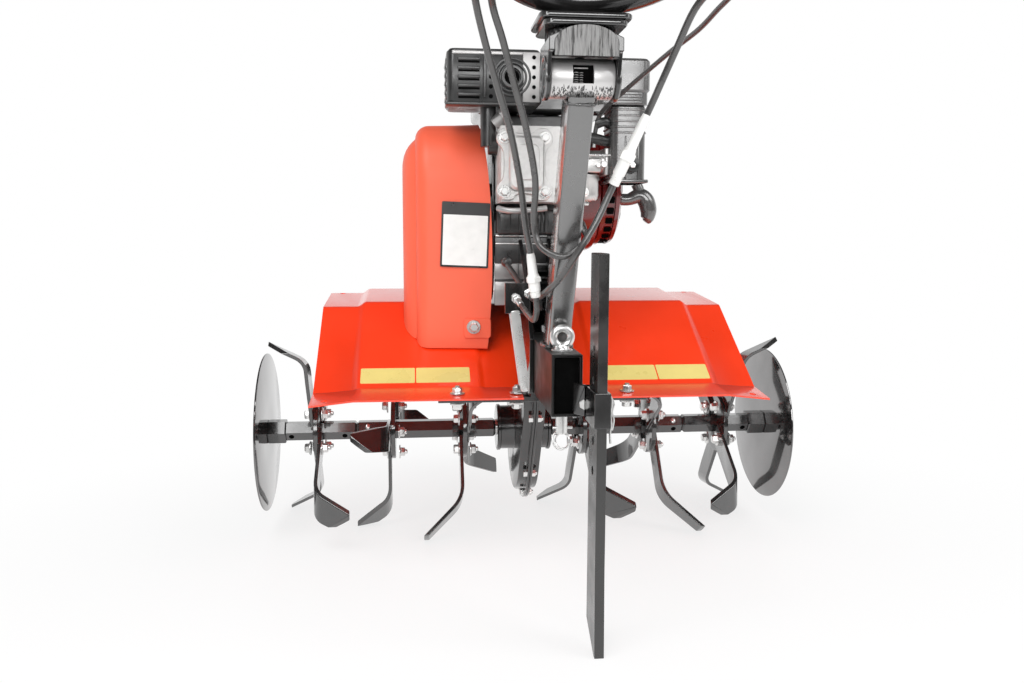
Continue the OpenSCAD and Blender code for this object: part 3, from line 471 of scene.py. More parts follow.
def make_world():
    """White for the camera, a bright horizon and a darker ceiling for gloss, even light for the rest."""
    world = bpy.data.worlds.new("studio")
    bpy.context.scene.world = world
    world.use_nodes = True
    world.cycles.sampling_method = "NONE"
    tree = world.node_tree
    tree.nodes.clear()

    def background(strength):
        return add_node(tree, "Background", {"Color": (1, 1, 1, 1), "Strength": strength})[0]

    def mixed(factor, a, b):
        return add_node(tree, "MixShader", {0: factor, 1: a, 2: b})[0]

    way = add_node(tree, "SeparateXYZ", {0: add_node(tree, "TexCoord")["Generated"]})
    ahead = map_range(tree, way["Y"], (-0.45, 0.4), (0.09, 1.0), "SMOOTHSTEP")
    height = map_range(tree, way["Z"], (0.12, 0.7), (1.0, 0.03), "SMOOTHSTEP")
    rays = add_node(tree, "LightPath")
    seen = {0: rays["Is Camera Ray"], 1: rays["Is Transmission Ray"]}
    seen = add_node(tree, "Math", seen, operation="MAXIMUM")[0]
    gloss = background(add_node(tree, "Math", {0: ahead, 1: height}, operation="MULTIPLY")[0])
    lit = mixed(rays["Is Glossy Ray"], background(0.5), gloss)
    add_node(tree, "OutputWorld", {"Surface": mixed(seen, lit, background(1.0))})


def make_floor():
    """A pale floor that turns white towards its rim and lights the object by its diffuse share alone."""
    half = 6.0
    rear = -1.35
    mesh = bpy.data.meshes.new("floor")
    corners = [(-half, rear, 0), (half, rear, 0), (half, half, 0), (-half, half, 0)]
    mesh.from_pydata(corners, [], [(0, 1, 2, 3)])
    floor = add_object("floor", mesh)
    material = bpy.data.materials.new("floor")
    material.use_nodes = True
    tree = material.node_tree
    shader = tree.nodes["Principled BSDF"]
    shader.inputs["Base Color"].default_value = (0.93, 0.93, 0.93, 1)
    shader.inputs["Roughness"].default_value = 0.45
    place = add_node(tree, "TexCoord")["Object"]
    distance = add_node(tree, "VectorMath", {0: place}, operation="LENGTH")["Value"]
    rim = map_range(tree, distance, (0.6, 1.3), (0.74, 1.0), "SMOOTHSTEP")
    bounced = add_node(tree, "LightPath")["Is Diffuse Ray"]
    seen = add_node(tree, "Math", {0: 1.0, 1: bounced}, operation="SUBTRACT")[0]
    share = add_node(tree, "Math", {0: rim, 1: seen}, operation="MULTIPLY")[0]
    mix = {0: share, 1: shader.outputs[0], 2: add_node(tree, "Emission")[0]}
    surface = add_node(tree, "MixShader", mix)[0]
    tree.links.new(surface, tree.nodes["Material Output"].inputs["Surface"])
    material.cycles.emission_sampling = "NONE"
    mesh.materials.append(material)


make_camera()
make_world()
make_floor()
make_lamp("softbox", (-0.1, -2.6, 1.35), (0, 0.1, 0.45), (2.5, 0.9), 42)
make_lamp("key", (-1.3, -1.4, 3.1), (0, 0.1, 0.4), (2.0, 2.0), 56)
make_lamp("fill", (2.3, -1.2, 2.2), (0, 0.2, 0.4), (1.8, 1.8), 38)
bpy.context.scene.view_settings.view_transform = "Standard"

# Cables: the routes of the solids, drawn as one smooth line from the frame to the levers

TILT_AXIS = (Vector(joints["head_tilt"]["pos_m"]) - axle) / MM
SWIVEL = (Vector(joints["handlebar_swivel"]["pos_m"]) - axle) / MM
BAR_D = 30.0
BAR_BEND_R = 110.0
BAR_FLARE = radians(14)
BAR_RISE = radians(17)
BAR_ARM = 640.0
BAR_Z = 606.3
GRIP_L = 125.0
LEVER_AT = BAR_ARM - GRIP_L - 40
THROTTLE_AT = LEVER_AT - 90
ARM_ROOT = Vector((BAR_BEND_R * cos(BAR_FLARE), BAR_BEND_R * (sin(BAR_FLARE) - 1)))
CABLE_R = 4.1
CABLE_LIFT = BAR_D / 2 + 9.5


def bar_point(u, v, lift=0.0):
    """A point in the handlebar's own plane, as x, towards the front, and above it."""
    return Vector((u, SWIVEL.y + v * cos(BAR_RISE) + lift * sin(BAR_RISE),
                   BAR_Z - v * sin(BAR_RISE) + lift * cos(BAR_RISE)))


def arm_point(side, along, lift=0.0, aside=0.0):
    """A point beside a handlebar arm, at a distance along it."""
    u = ARM_ROOT.x + along * sin(BAR_FLARE) + aside * cos(BAR_FLARE)
    v = ARM_ROOT.y - along * cos(BAR_FLARE) + aside * sin(BAR_FLARE)
    return bar_point(side * u, v, lift)


def arm_stops(first, end):
    """Quarter steps along an arm, from one of them to its end."""
    return [k * end / 4 for k in range(first, 5)]


LEFT_LOWER = [
    (-48, -302, 256), (-41, -330, 245), (-37, -372, 236), (-34, -404, 233), (-33, -420, 244),
    (-34, -424, 261), (-43, -430, 324), (-50, -442, 353), (-61, -470, 409), (-77, -505, 466),
    (-92.5, -530.5, 506)]
LOOP_LOWER = [
    (32, -151, 330), (33, -230, 345), (32, -320, 358), (28, -400, 361), (25, -440, 351), (21, -479, 339),
    (-1, -486, 321), (-17, -486, 319), (-31, -478, 326), (-39, -470, 338), (-44, -472, 363), (-45, -490, 410),
    (-59, -515, 466), (-75.5, -540.5, 511)]
RIGHT_LOWER = [
    (-29, -301, 262), (-27, -340, 256), (-25, -380, 260), (-23, -436, 272), (-12, -474, 290), (5, -499, 322),
    (26, -502, 357), (47, -500, 401), (84, -520, 488), (95.5, -538, 522)]
THROTTLE_LOWER = [
    (86, -190, 479.5), (87, -199, 505), (92, -214, 528), (104, -270, 543), (120, -345, 560), (137, -425, 577),
    (152, -490, 590), (157.5, -540, 601)]
LEFT_UPPER = [(-108, -556, 546), (-122, -590, 584), (-130, -640, 606)]
LEFT_UPPER += [arm_point(-1, s, -CABLE_LIFT) for s in arm_stops(1, LEVER_AT)]
LOOP_UPPER = [(-92, -566, 556), (-105, -592, 584), (-112, -640, 600)]
LOOP_UPPER += [arm_point(-1, s, 2 - CABLE_LIFT, -10) for s in arm_stops(1, LEVER_AT)]
RIGHT_UPPER = [(107, -556, 556), (115, -590, 588), (124, -640, 606)]
RIGHT_UPPER += [arm_point(1, s, -CABLE_LIFT) for s in arm_stops(1, LEVER_AT)]
THROTTLE_UPPER = [(163, -590, 612), (164, -650, 630)]
THROTTLE_UPPER += [arm_point(1, s, 6 - CABLE_LIFT, 14) for s in arm_stops(2, THROTTLE_AT)]
ROUTE_STEPS = 6


def make_cable(name, lower, upper, radius):
    """One cable, in a lower stretch from the frame towards the head and an upper stretch from there to the
    handlebar.
    """
    line = catmull(lower + upper, ROUTE_STEPS)
    joint = (len(lower) - 1) * ROUTE_STEPS
    stretches = (("lower", line[:joint + 1], "frame", "head", lower[-3], lower[-1]),
                 ("upper", line[joint:], "head", "handlebar", lower[-1], upper[2]))
    for part, points, first, second, start, end in stretches:
        made = piece(f"{name}_{part}", Shape().sweep(points, radius, 14), cable_black, body=None)
        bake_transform(made)
        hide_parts("cables_" + part)


make_cable("cable_left", LEFT_LOWER, LEFT_UPPER, CABLE_R)
make_cable("cable_loop", LOOP_LOWER, LOOP_UPPER, CABLE_R)
make_cable("cable_right", RIGHT_LOWER, RIGHT_UPPER, CABLE_R)
make_cable("cable_throttle", THROTTLE_LOWER, THROTTLE_UPPER, CABLE_R * 0.8)


def make_adjusters():
    """White adjusters on two cables: a cone, a sleeve, a hexagon and a threaded end."""
    shape = Shape()
    for a, b, length in ((LEFT_LOWER[5], LEFT_LOWER[6], 58), (RIGHT_LOWER[7], RIGHT_LOWER[8], 90)):
        a, b = Vector(a), Vector(b)
        axis = (b - a).normalized()
        start = (a + b) / 2 - axis * length / 2
        body_r = 7.6
        profile = [(0, 5), (1, 6.4), (length * 0.14, 6.4), (length * 0.16, body_r), (length * 0.5, body_r)]
        profile += [(length * 0.54, 6.4), (length * 0.93, 5.6), (length, 4.8)]
        shape.turned(start, axis, profile, 28)
        shape.hexagon(start + axis * length * 0.36, axis, 17.5, length * 0.12)
        thread = [(0, 6.3), (0.5, 7.0), (1, 6.3)]
        for k in range(4):
            shape.turned(start + axis * (length * (0.04 + 0.025 * k)), axis, thread, 28)
    piece("adjuster_sleeves", shape, white_plastic, "cable_adjusters")


make_adjusters()


def make_cable_ends():
    """Threaded ends of the cables in the bracket and at the engine."""
    shape = Shape()
    for start, towards in ((LEFT_LOWER[0], LEFT_LOWER[1]), (RIGHT_LOWER[0], RIGHT_LOWER[1])):
        axis = (Vector(towards) - Vector(start)).normalized()
        shape.turned(start, axis, [(-10, 3.6), (0, 4.2), (18, 4.6), (26, 4.4), (27, 3.6)], 18)
        shape.hexagon(Vector(start) + axis * 1.0, axis, 12, 5)
        shape.hexagon(Vector(start) + axis * 8.0, axis, 11, 4)
    axis = (Vector(THROTTLE_LOWER[1]) - Vector(THROTTLE_LOWER[0])).normalized()
    shape.turned(THROTTLE_LOWER[0], axis, [(0, 3.4), (12, 3.6), (14, 3.0)], 16)
    piece("cable_ferrules", shape, zinc_steel)


make_cable_ends()

# Rotor

# For each tine set: its place along the axle and its turn about it
TINE_SETS = {
    "left_inner": (-106, 35), "left_middle": (-231, 5), "left_outer": (-363, 55),
    "right_inner": (106, 55), "right_middle": (231, 35), "right_outer": (363, 55)}
FLANGE_T = 8.0
TINE_T = 6.0
HEX_TURN = pi / 2


def make_axles():
    """Hexagonal tubes in lengths that meet in a groove, with sockets at the discs, pins, and pin holes drawn as
    dark discs of painted shade.
    """
    outer = span("axles")[1].x
    hex_r = 30 / sqrt(3)
    groove = 3.5
    joint_x = 295.0
    inner = 50.0
    shape = Shape()
    for side in (-1, 1):
        axis = Vector((side, 0, 0))
        for x0, x1 in ((inner, joint_x), (joint_x, outer - 28)):
            profile = [(x0, hex_r - groove), (x0 + groove, hex_r), (x1 - groove, hex_r), (x1, hex_r - groove)]
            shape.turned((0, 0, 0), axis, profile, 6, HEX_TURN)
        socket_r = 38 / sqrt(3)
        profile = [(outer - 31, hex_r), (outer - 31, socket_r - 1.5), (outer - 29.5, socket_r)]
        profile += [(outer - 1.5, socket_r), (outer, socket_r - 1)]
        shape.turned((0, 0, 0), axis, profile, 6, HEX_TURN)
    piece("axle_tubes", shape, tine_black, "axles", sharp=25)
    pins = Shape()
    # Dark discs of painted shade where the pin holes open.
    holes = Shape()
    slope = Vector((0, -cos(radians(30)), -0.5))
    for x in (-408, -316, 277, 408):
        holes.turned(Vector((x, 0, 0)) + slope * 15.0, slope, [(0, 4.6), (0.25, 4.2)], 20)
    upper = Vector((0, slope.y, 0.5))
    for x in (-276, 276):
        pins.turned(Vector((x, 0, 0)) + upper * 15.0, upper, [(0, 5), (2.2, 4.6), (3.2, 3)], 20)
    piece("axle_pins", pins, zinc_steel, body="rotor")
    piece("axle_hole_painted_shade", holes, painted_hole_shade, body="rotor")


make_axles()


def make_discs():
    """Side discs: thin polished plates with a dish and a rolled rim."""
    high = span("discs")[1]
    r = high.z
    rim = 2.2
    thick = 3.0
    dish = 8.0
    shape = Shape()
    for side in (-1, 1):
        face = high.x - thick - dish
        profile = [(face, 0), (face, 44), (face, r - rim), (face + 0.4, r - 0.5), (face + thick / 2, r)]
        profile += [(face + thick - 0.4, r - 0.5), (face + thick, r - rim), (face + thick, 60)]
        profile += [(face + thick + 1, 56), (face + thick + dish - 1, 49), (face + thick + dish, 46)]
        profile += [(face + thick + dish, 0)]
        shape.turned((0, 0, 0), (side, 0, 0), profile, 128)
    piece("polished_discs", shape, disc_black, "discs", sharp=28)


make_discs()


def make_tine_bolts():
    """A bolt through the flange for each tine, with its nut."""
    shape = Shape()
    bolt_r = 41.0
    seat = FLANGE_T / 2 + TINE_T - 0.5
    for x, lead in TINE_SETS.values():
        for i in range(4):
            turn = radians(180 - lead + 90 * i)
            place = Vector((x, -sin(turn) * bolt_r, cos(turn) * bolt_r))
            for side in (-1, 1):
                shape.bolt(place + Vector((side * seat, 0, 0)), (side, 0, 0), 14, stud=4 if side > 0 else 0)
    piece("tine_bolts", shape, zinc_steel, body="rotor")


make_tine_bolts()
for name in TINE_SETS:
    dress("tine_set_" + name, tine_black, 1.2, 2, 30)
dress("drive_shaft", zinc_steel, 1.0)

# Fenders: folded sheet with round folds and a pressed step

FENDER_TOP = 232.0
FENDER_LINE = [(-284, FENDER_TOP - 126.5), (-222, FENDER_TOP - 119), (-45, FENDER_TOP - 1.5),
               (112, FENDER_TOP + 13), (240, FENDER_TOP - 62)]
FOLD_R = [0, 11, 20, 34, 0]
FENDER_T = 2.5
FENDER_GAP = 32.0
FENDER_X = 345.0
STEP_X = 281.0
STEP = 8.0
STEP_W = 16.0
LIP_DROOP = 7.0
INNER_STEP_X = 90.0
INNER_STEP = 4.0
INNER_STEP_W = 12.0


def filleted(points, radii, steps=7):
    """A bent line with its corners rounded."""
    line = [Vector(points[0])]
    for p, corner, q, r in zip(points, points[1:], points[2:], radii[1:]):
        p, corner, q = Vector(p), Vector(corner), Vector(q)
        a = (p - corner).normalized()
        b = (q - corner).normalized()
        half = a.angle(b) / 2
        reach = r / tan(half)
        centre = corner + (a + b).normalized() * r / sin(half)
        start = corner + a * reach - centre
        end = corner + b * reach - centre
        sweep = atan2(start.x * end.y - start.y * end.x, start.dot(end))
        for i in range(steps + 1):
            angle = sweep * i / steps
            c, s = cos(angle), sin(angle)
            line.append(centre + Vector((start.x * c - start.y * s, start.x * s + start.y * c)))
    line.append(Vector(points[-1]))
    return line


def ramp(value, middle, width):
    """From 0 to 1 in a soft step about a middle."""
    t = min(1, max(0, (value - middle) / width + 0.5))
    return t * t * (3 - 2 * t)


def fender_drop(x, y):
    """How far the sheet lies below its line: by soft steps on the slope, by a droop on the lip."""
    slope = ramp(y, FENDER_LINE[1][0], FOLD_R[1])
    outer = STEP * ramp(x, STEP_X, STEP_W)
    inner = INNER_STEP * (1 - ramp(x, INNER_STEP_X, INNER_STEP_W))
    lip = LIP_DROOP * max(0, (x - STEP_X) / (FENDER_X - STEP_X))
    return slope * (outer + inner) + (1 - slope) * lip


def fender_grid(line):
    """Top and bottom points of the sheet along a line and across its width."""
    inner = [INNER_STEP_X + INNER_STEP_W * (i / 6 - 0.5) for i in range(7)]
    outer = [STEP_X + STEP_W * (i / 8 - 0.5) for i in range(9)]
    stations = [FENDER_GAP] + inner + outer + [FENDER_X - 4, FENDER_X]
    normals = []
    for i in range(len(line)):
        t = (line[min(i + 1, len(line) - 1)] - line[max(i - 1, 0)]).normalized()
        normals.append(Vector((-t.y, t.x)))
    top = [[Vector((x, p.x, p.y - fender_drop(x, p.x))) for x in stations] for p in line]
    under = [[v - Vector((0, n.x, n.y)) * FENDER_T for v in row] for row, n in zip(top, normals)]
    return top, under


def make_fender(side):
    """One fender: a sheet with a skin, a back and walls along its rims, drilled near its outer rim."""
    line = filleted(FENDER_LINE, FOLD_R)
    top, under = fender_grid(line)
    shape = Shape()
    bm = shape.bm
    skin = [[bm.verts.new((side * v.x, v.y, v.z)) for v in row] for row in top]
    back = [[bm.verts.new((side * v.x, v.y, v.z)) for v in row] for row in under]
    rows, columns = len(skin), len(skin[0])
    quads = [(grid[i][k], grid[i][k + 1], grid[i + 1][k + 1], grid[i + 1][k])
             for i in range(rows - 1) for k in range(columns - 1) for grid in (skin, back)]
    quads += [(skin[i][k], skin[i + 1][k], back[i + 1][k], back[i][k])
              for i in range(rows - 1) for k in (0, columns - 1)]
    quads += [(skin[i][k], skin[i][k + 1], back[i][k + 1], back[i][k])
              for k in range(columns - 1) for i in (0, rows - 1)]
    for quad in quads:
        bm.faces.new(quad)
    name = "left" if side < 0 else "right"
    made = piece("fender_sheet_" + name, shape, orange_paint, "fender_" + name, sharp=50)
    cutters = Shape()
    hole_x = side * 324
    hole_r = 5.0
    for y in (-269, 99):
        cutters.rod((hole_x, y, 0), (hole_x, y, 400), hole_r, 24)
    drill(made, cutters)


DRILLED_SHARP = 50.0


def drill(made, cutters):
    """Cuts the shape of the cutters out of a piece."""
    tool = show("cutters", cutters.in_frame(), None, DRILLED_SHARP)
    cut = made.modifiers.new("holes", "BOOLEAN")
    cut.operation = "DIFFERENCE"
    cut.object = tool
    cut.solver = "EXACT"
    bpy.context.view_layer.update()
    result = bpy.data.meshes.new_from_object(made.evaluated_get(bpy.context.evaluated_depsgraph_get()))
    made.modifiers.clear()
    made.data = result
    smooth(result, DRILLED_SHARP)
    bpy.data.objects.remove(tool)


for side in (-1, 1):
    make_fender(side)


def make_strips():
    """Blank pale-yellow strips above the fenders' lips."""
    shape = Shape()
    fold = Vector(FENDER_LINE[1])
    slope = (Vector(FENDER_LINE[2]) - fold).normalized()
    normal = Vector((-slope.y, slope.x))
    strip = (83.0, 34.0)
    first = 10.0
    gap = 2.0
    inner_x = 107.0
    for side in (-1, 1):
        for k in range(2):
            x0 = inner_x + k * (strip[0] + gap)
            place = basis(
                (side, 0, 0), (0, slope.x, slope.y), (0, normal.x, normal.y),
                (side * x0, fold.x + slope.x * first, fold.y + slope.y * first))
            shape.prism(rounded_outline((0, 0), strip, 2, 3), place, 0.4)
    piece("blank_strips", shape, yellow_film)


make_strips()


def make_fender_bolts():
    """Bolts through the fenders' lips and the crossbar."""
    shape = Shape()
    y = -258.0
    (y0, z0), (y1, z1) = FENDER_LINE[:2]
    z = z0 + (y - y0) * ((z1 - z0) / (y1 - y0))
    for x in (-129, -40, 40, 129):
        shape.bolt((x, y, z), UP, 13, stud=3)
        shape.bolt((x, y, z - 14), DOWN, 13)
    piece("fender_bolts", shape, zinc_steel)


make_fender_bolts()

# Belt guard

GUARD_LOW = 185.0
GUARD_HIGH = 429.0
GUARD_Y = -60.0
GUARD_R = 96.0
GUARD_X = -68.0
GUARD_W = 120.0
GUARD_PANEL = 22.0
GUARD_BOW = 17.0
GUARD_T = 3.0
FENDER_SEAT = 1.2


def fender_height(y):
    """Height of the fender's line over a place along it."""
    for (y0, z0), (y1, z1) in zip(FENDER_LINE, FENDER_LINE[1:]):
        if y0 <= y <= y1:
            return z0 + (z1 - z0) * (y - y0) / (y1 - y0)
    return -inf


def guard_ring(r, x, bow=0.0):
    """The guard's upright round-ended outline; bow draws its two ends outwards. It stops at the fender."""
    middle = (GUARD_LOW + GUARD_HIGH) / 2
    reach = middle - GUARD_LOW + GUARD_R

    def point(y, z):
        return Vector((x - bow * ((z - middle) / reach) ** 2, y, z))

    steps = 28
    rises = 10
    points = []
    ends = ((GUARD_HIGH, GUARD_LOW, 0.0, -r), (GUARD_LOW, GUARD_HIGH, pi, r))
    for centre, opposite, first, edge in ends:
        for i in range(steps + 1):
            a = first + pi * i / steps
            y = GUARD_Y + r * cos(a)
            points.append(point(y, max(centre + r * sin(a), fender_height(y) + FENDER_SEAT)))
        points += [point(GUARD_Y + edge, centre + (opposite - centre) * k / rises) for k in range(1, rises)]
    return points


def guard_levels(skin):
    """Rings of the guard's skin, from its open rim to the middle of its raised panel."""
    face = GUARD_X - GUARD_W + skin
    r = GUARD_R - skin
    edge = 22.0
    draft = 3.0
    levels = [(r, GUARD_X, GUARD_BOW), (r - 0.4, GUARD_X - 12, GUARD_BOW * 0.75)]
    levels.append((r - draft * 0.6, GUARD_X - 55, 0))
    arc_steps = 8
    for i in range(arc_steps + 1):
        a = pi / 2 * i / arc_steps
        levels.append((r - draft - edge * (1 - cos(a)), face + edge * (1 - sin(a)), 0))
    dome_r = r - draft - edge
    for i in range(1, arc_steps):
        a = pi / 2 * i / arc_steps
        levels.append((dome_r * cos(a) ** 0.5, face - GUARD_PANEL * sin(a) ** 2, 0))
    return levels


def make_guard():
    """Moulded belt guard: a deep pan with a bowed rim, round edges and a raised panel on its outer face."""
    shape = Shape()
    skin = [guard_ring(*level) for level in guard_levels(0)]
    inside = [guard_ring(*level) for level in guard_levels(GUARD_T)]
    shape.loops(list(reversed(inside)) + skin)
    # The pan's paler orange holds a painted whitish sheen.
    piece("belt_guard_pan", shape, guard_orange_painted_sheen, "belt_guard", sharp=40)
    plate = Shape()
    rim = GUARD_R - GUARD_T - 0.3
    radii = [rim * k / 6 for k in range(1, 7)]
    thick = 3.0
    levels = [(r, GUARD_X - 0.5) for r in radii] + [(r, GUARD_X - 0.5 - thick) for r in reversed(radii)]
    plate.loops([guard_ring(r, x, GUARD_BOW) for r, x in levels])
    low, high = span("guard_back_plate")
    seat = 236.0
    clear = 8.0
    place = basis(FORWARD, UP, RIGHT, (low.x, 0, 0))
    outline = rounded_outline((low.y + clear, seat), (high.y - clear, high.z - 2 * clear), 60)
    plate.prism(outline, place, high.x - low.x, 0.6)
    piece("guard_plate", plate, black_paint, "guard_back_plate", sharp=40)


make_guard()


def make_guard_tab():
    """Ear at the guard's lower rear corner, with its bolt."""
    face = GUARD_Y - GUARD_R
    tab = Shape()
    tab.prism(rounded_outline((-114, 180), (-70, 212), 5), rear_face(face + 1), 3.2, 1.2)
    # The tab takes the same paler orange with its painted sheen.
    piece("guard_tab", tab, guard_orange_painted_sheen)
    fasten("guard_bolt", [(-98, face - 2.2, 198)], BACK, 13)


make_guard_tab()


def make_nameplate():
    """Blank plate: a dark frame with a header band around a pale field."""
    low, high = span("nameplate")
    border = 3.0
    header = 20.0
    middle = (low + high) / 2
    skew = Matrix.Rotation(radians(2.2), 4, "Y")
    place = Matrix.Translation(middle) @ skew @ Matrix.Translation(-middle) @ rear_face(high.y)
    back = Shape().prism(rounded_outline((low.x, low.z), (high.x, high.z), 2), place, 0.8)
    piece("plate_back", back, black_plastic, "nameplate")
    field = Shape()
    place = Matrix.Translation((0, -0.8, 0)) @ place
    inner = rounded_outline((low.x + border, low.z + border), (high.x - border, high.z - header), 1)
    field.prism(inner, place, 0.25)
    piece("plate_field", field, white_plastic)


make_nameplate()

# Frame, hitch and stake

dress("chain_case_left", black_paint, 1.6, 3)
dress("chain_case_right", black_paint, 1.6, 3)
dress("rear_crossbar", black_paint, 1.0)
dress("frame_plates", black_paint, 1.0)
dress("engine_bed", black_paint, 1.0)
dress("hitch_receiver", satin_black, 2.0, 3)
dress("stake_bracket", black_paint, 1.2)
dress("stake", stake_black, 1.0)
dress("cable_bracket", black_paint, 0.8)
dress("tilt_pin", black_paint, 1.0)


def make_case_bolts():
    """Bolts around the flange of the chain case, and rings around its bearings."""
    shape = Shape()
    flange = 4.0
    rim = 118.0
    bulge_rim = 100.0
    places = []
    for y, z, r, angles in ((0, 0, rim, (-150, -115, -80, -45, -10, 25)), (-80, 92, bulge_rim, (165, 205))):
        places += [(y + r * cos(a), z + r * sin(a)) for a in map(radians, angles)]
    for y, z in places:
        for side in (-1, 1):
            shape.bolt((side * flange, y, z), (side, 0, 0), 11, washer=False, stud=3 if side > 0 else 0)
    piece("case_bolts", shape, zinc_steel)
    caps = Shape()
    end = span("chain_case_right")[1].x - 0.5
    profile = [(-6, 40.5), (-5, 41.5), (-1, 41.5), (0, 40.5), (0, 15)]
    for side in (-1, 1):
        caps.turned((side * end, 0, 0), (side, 0, 0), profile, 48)
    piece("bearing_rings", caps, black_paint)


make_case_bolts()


def make_hitch_details():
    """Hitch pin with its eye and clip, the bracket's bolt, the stake's clip and a dark plate of painted shade
    inside the receiver.
    """
    low, high = span("hitch_pin")
    pin_y = (low.y + high.y) / 2
    pin_r = 8.0
    eye_r = 11.5
    wire = 5.2
    receiver = span("hitch_receiver")
    eye = Vector((0, pin_y, high.z - eye_r - 4))
    shape = Shape()
    profile = [(0, pin_r - 2), (2, pin_r), (high.z - low.z - 2 * eye_r - 6, pin_r)]
    shape.turned((0, pin_y, low.z), UP, profile, 28)
    shape.ring(eye, FORWARD, eye_r, wire, 48, 20)
    shape.turned((0, pin_y, receiver[1].z), UP, [(-1, 14), (1, 14), (2, 13), (2, 10), (4, 9.5), (6, 8.5)], 36)
    piece("hitch_pin_eye", shape, zinc_steel, "hitch_pin")
    clip = Shape()
    ring_r = 12.5
    hang = Vector((-1, pin_y - 3, low.z - 8))
    clip.ring(hang, (0.35, -1, 0.25), ring_r, 1.3)
    clip.ring(hang + Vector((2, -1, -1)), (-0.55, -1, 0.1), ring_r - 2.5, 1.2)
    clip.sweep([(-12, pin_y - 3, low.z + 9), (14, pin_y - 3, low.z + 9)], 2.0, 12)
    piece("hitch_clip", clip, zinc_steel)
    fasten("hitch_bolts", [(24, -480, 134)], (-0.62, -0.78, 0), 13)
    spring = Shape()
    x = span("stake_bracket")[1].x + 2.5
    line = [(x - 8, -520, 152), (x + 2, -521, 150), (x + 4, -521, 141), (x + 2, -521, 128),
            (x + 3.5, -521, 116), (x + 2, -521, 104), (x + 3, -521, 92)]
    spring.sweep(catmull(line, 6), 1.4, 10)
    line = [(x + 4, -519, 148), (x + 7, -519, 140), (x + 5, -519, 130), (x + 7, -519, 120)]
    line.append((x + 5, -519, 108))
    spring.sweep(catmull(line, 6), 1.2, 10)
    piece("stake_clip", spring, zinc_steel)
    wall = 4.2
    inset = 6.0
    # A dark plate of painted shade a little inside the receiver's open end.
    dark = Shape()
    dark.block((receiver[0].x + wall, receiver[0].y + inset, receiver[0].z + wall),
               (receiver[1].x - wall, receiver[0].y + inset + 2, receiver[1].z - wall), 0.5)
    piece("receiver_painted_shade", dark, painted_hole_shade)


make_hitch_details()


def make_strut():
    """Bright flat bar between the cable bracket and the crossbar."""
    shape = Shape()
    top = Vector((-48, -302.5, 236))
    foot = Vector((-28, -270.5, 112))
    axis = (foot - top).normalized()
    side = axis.cross(FORWARD).normalized()
    face = side.cross(axis)
    place = basis(side, axis, face, top)
    shape.prism(rounded_outline((-7, 0), (7, (foot - top).length), 4), place, 3, 0.6)
    piece("strut", shape, zinc_steel)


make_strut()


def bead(shape, points, r, seed, rough=0.35):
    """A weld bead along points, with the ripples of the torch."""
    line = catmull(points, 10)
    radii = []
    for i in range(len(line)):
        unevenness = rough * noise.noise(Vector((i * 0.31, seed, 0)))
        radii.append(r * (1 + 0.22 * sin(i * 1.9) + unevenness))
    shape.sweep(line, radii, 10)


STEM_FOOT = Vector((0, -378, 195))
STEM_ALONG = (TILT_AXIS - STEM_FOOT).normalized()
STEM_BACK = STEM_ALONG.cross(RIGHT).normalized()
STEM_W = 30.0
STEM_D = 50.0
BARREL_R = 22.5
BARREL_HALF = 37.0
PIN_R = 10.0


def make_stem():
    """Leaning box-section stem with the tilt barrel welded across its top, and a window cut in the barrel with
    painted shade at its bottom.
    """
    outline = rounded_outline((-STEM_W / 2, -STEM_D / 2), (STEM_W / 2, STEM_D / 2), 4, 5)
    line = [STEM_FOOT + RIGHT * u + STEM_BACK * v for u, v in outline]
    foot = [point - STEM_ALONG * ((point.z - STEM_FOOT.z) / STEM_ALONG.z) for point in line]
    reach = (TILT_AXIS - STEM_FOOT).length - BARREL_R * 0.6
    top = [point + STEM_ALONG * reach for point in line]
    neck = [point + STEM_ALONG * (reach - BARREL_R) for point in line]
    piece("stem_tube", Shape().loops([foot, neck, top]), stem_black, "stem", sharp=30)
    shape = Shape()
    half = BARREL_HALF
    profile = [(-half, PIN_R + 1), (-half, BARREL_R - 1.5), (1.5 - half, BARREL_R), (half - 1.5, BARREL_R)]
    profile += [(half, BARREL_R - 1.5), (half, PIN_R + 1), (-half, PIN_R + 1)]
    shape.turned(TILT_AXIS, RIGHT, profile, 72)
    made = piece("tilt_barrel", shape, barrel_steel)
    window = Shape()
    rear = TILT_AXIS - FORWARD * BARREL_R
    window.block(rear + Vector((-12, -4, -8)), rear + Vector((12, 9.5, 13)))
    drill(made, window)
    # A dark block of painted shade at the bottom of the window.
    inside = Shape()
    inside.block(rear + Vector((-12.5, 8, -8.5)), rear + Vector((12.5, 10, 13.5)), 0.5)
    piece("barrel_window_painted_shade", inside, painted_hole_shade)
    springs = Shape()
    coils = 5
    for x, r in ((-7.5, 2.4), (-1.5, 1.7)):
        for k in range(coils):
            springs.ring(rear + Vector((x, 7.4, -6 + 2.6 * k)), UP, r, 0.6, 20, 8)
    springs.rod(rear + Vector((-10, 7.4, 9.5)), rear + Vector((6, 7.4, 9.5)), 0.8, 10)
    piece("barrel_springs", springs, pressed_steel)


make_stem()


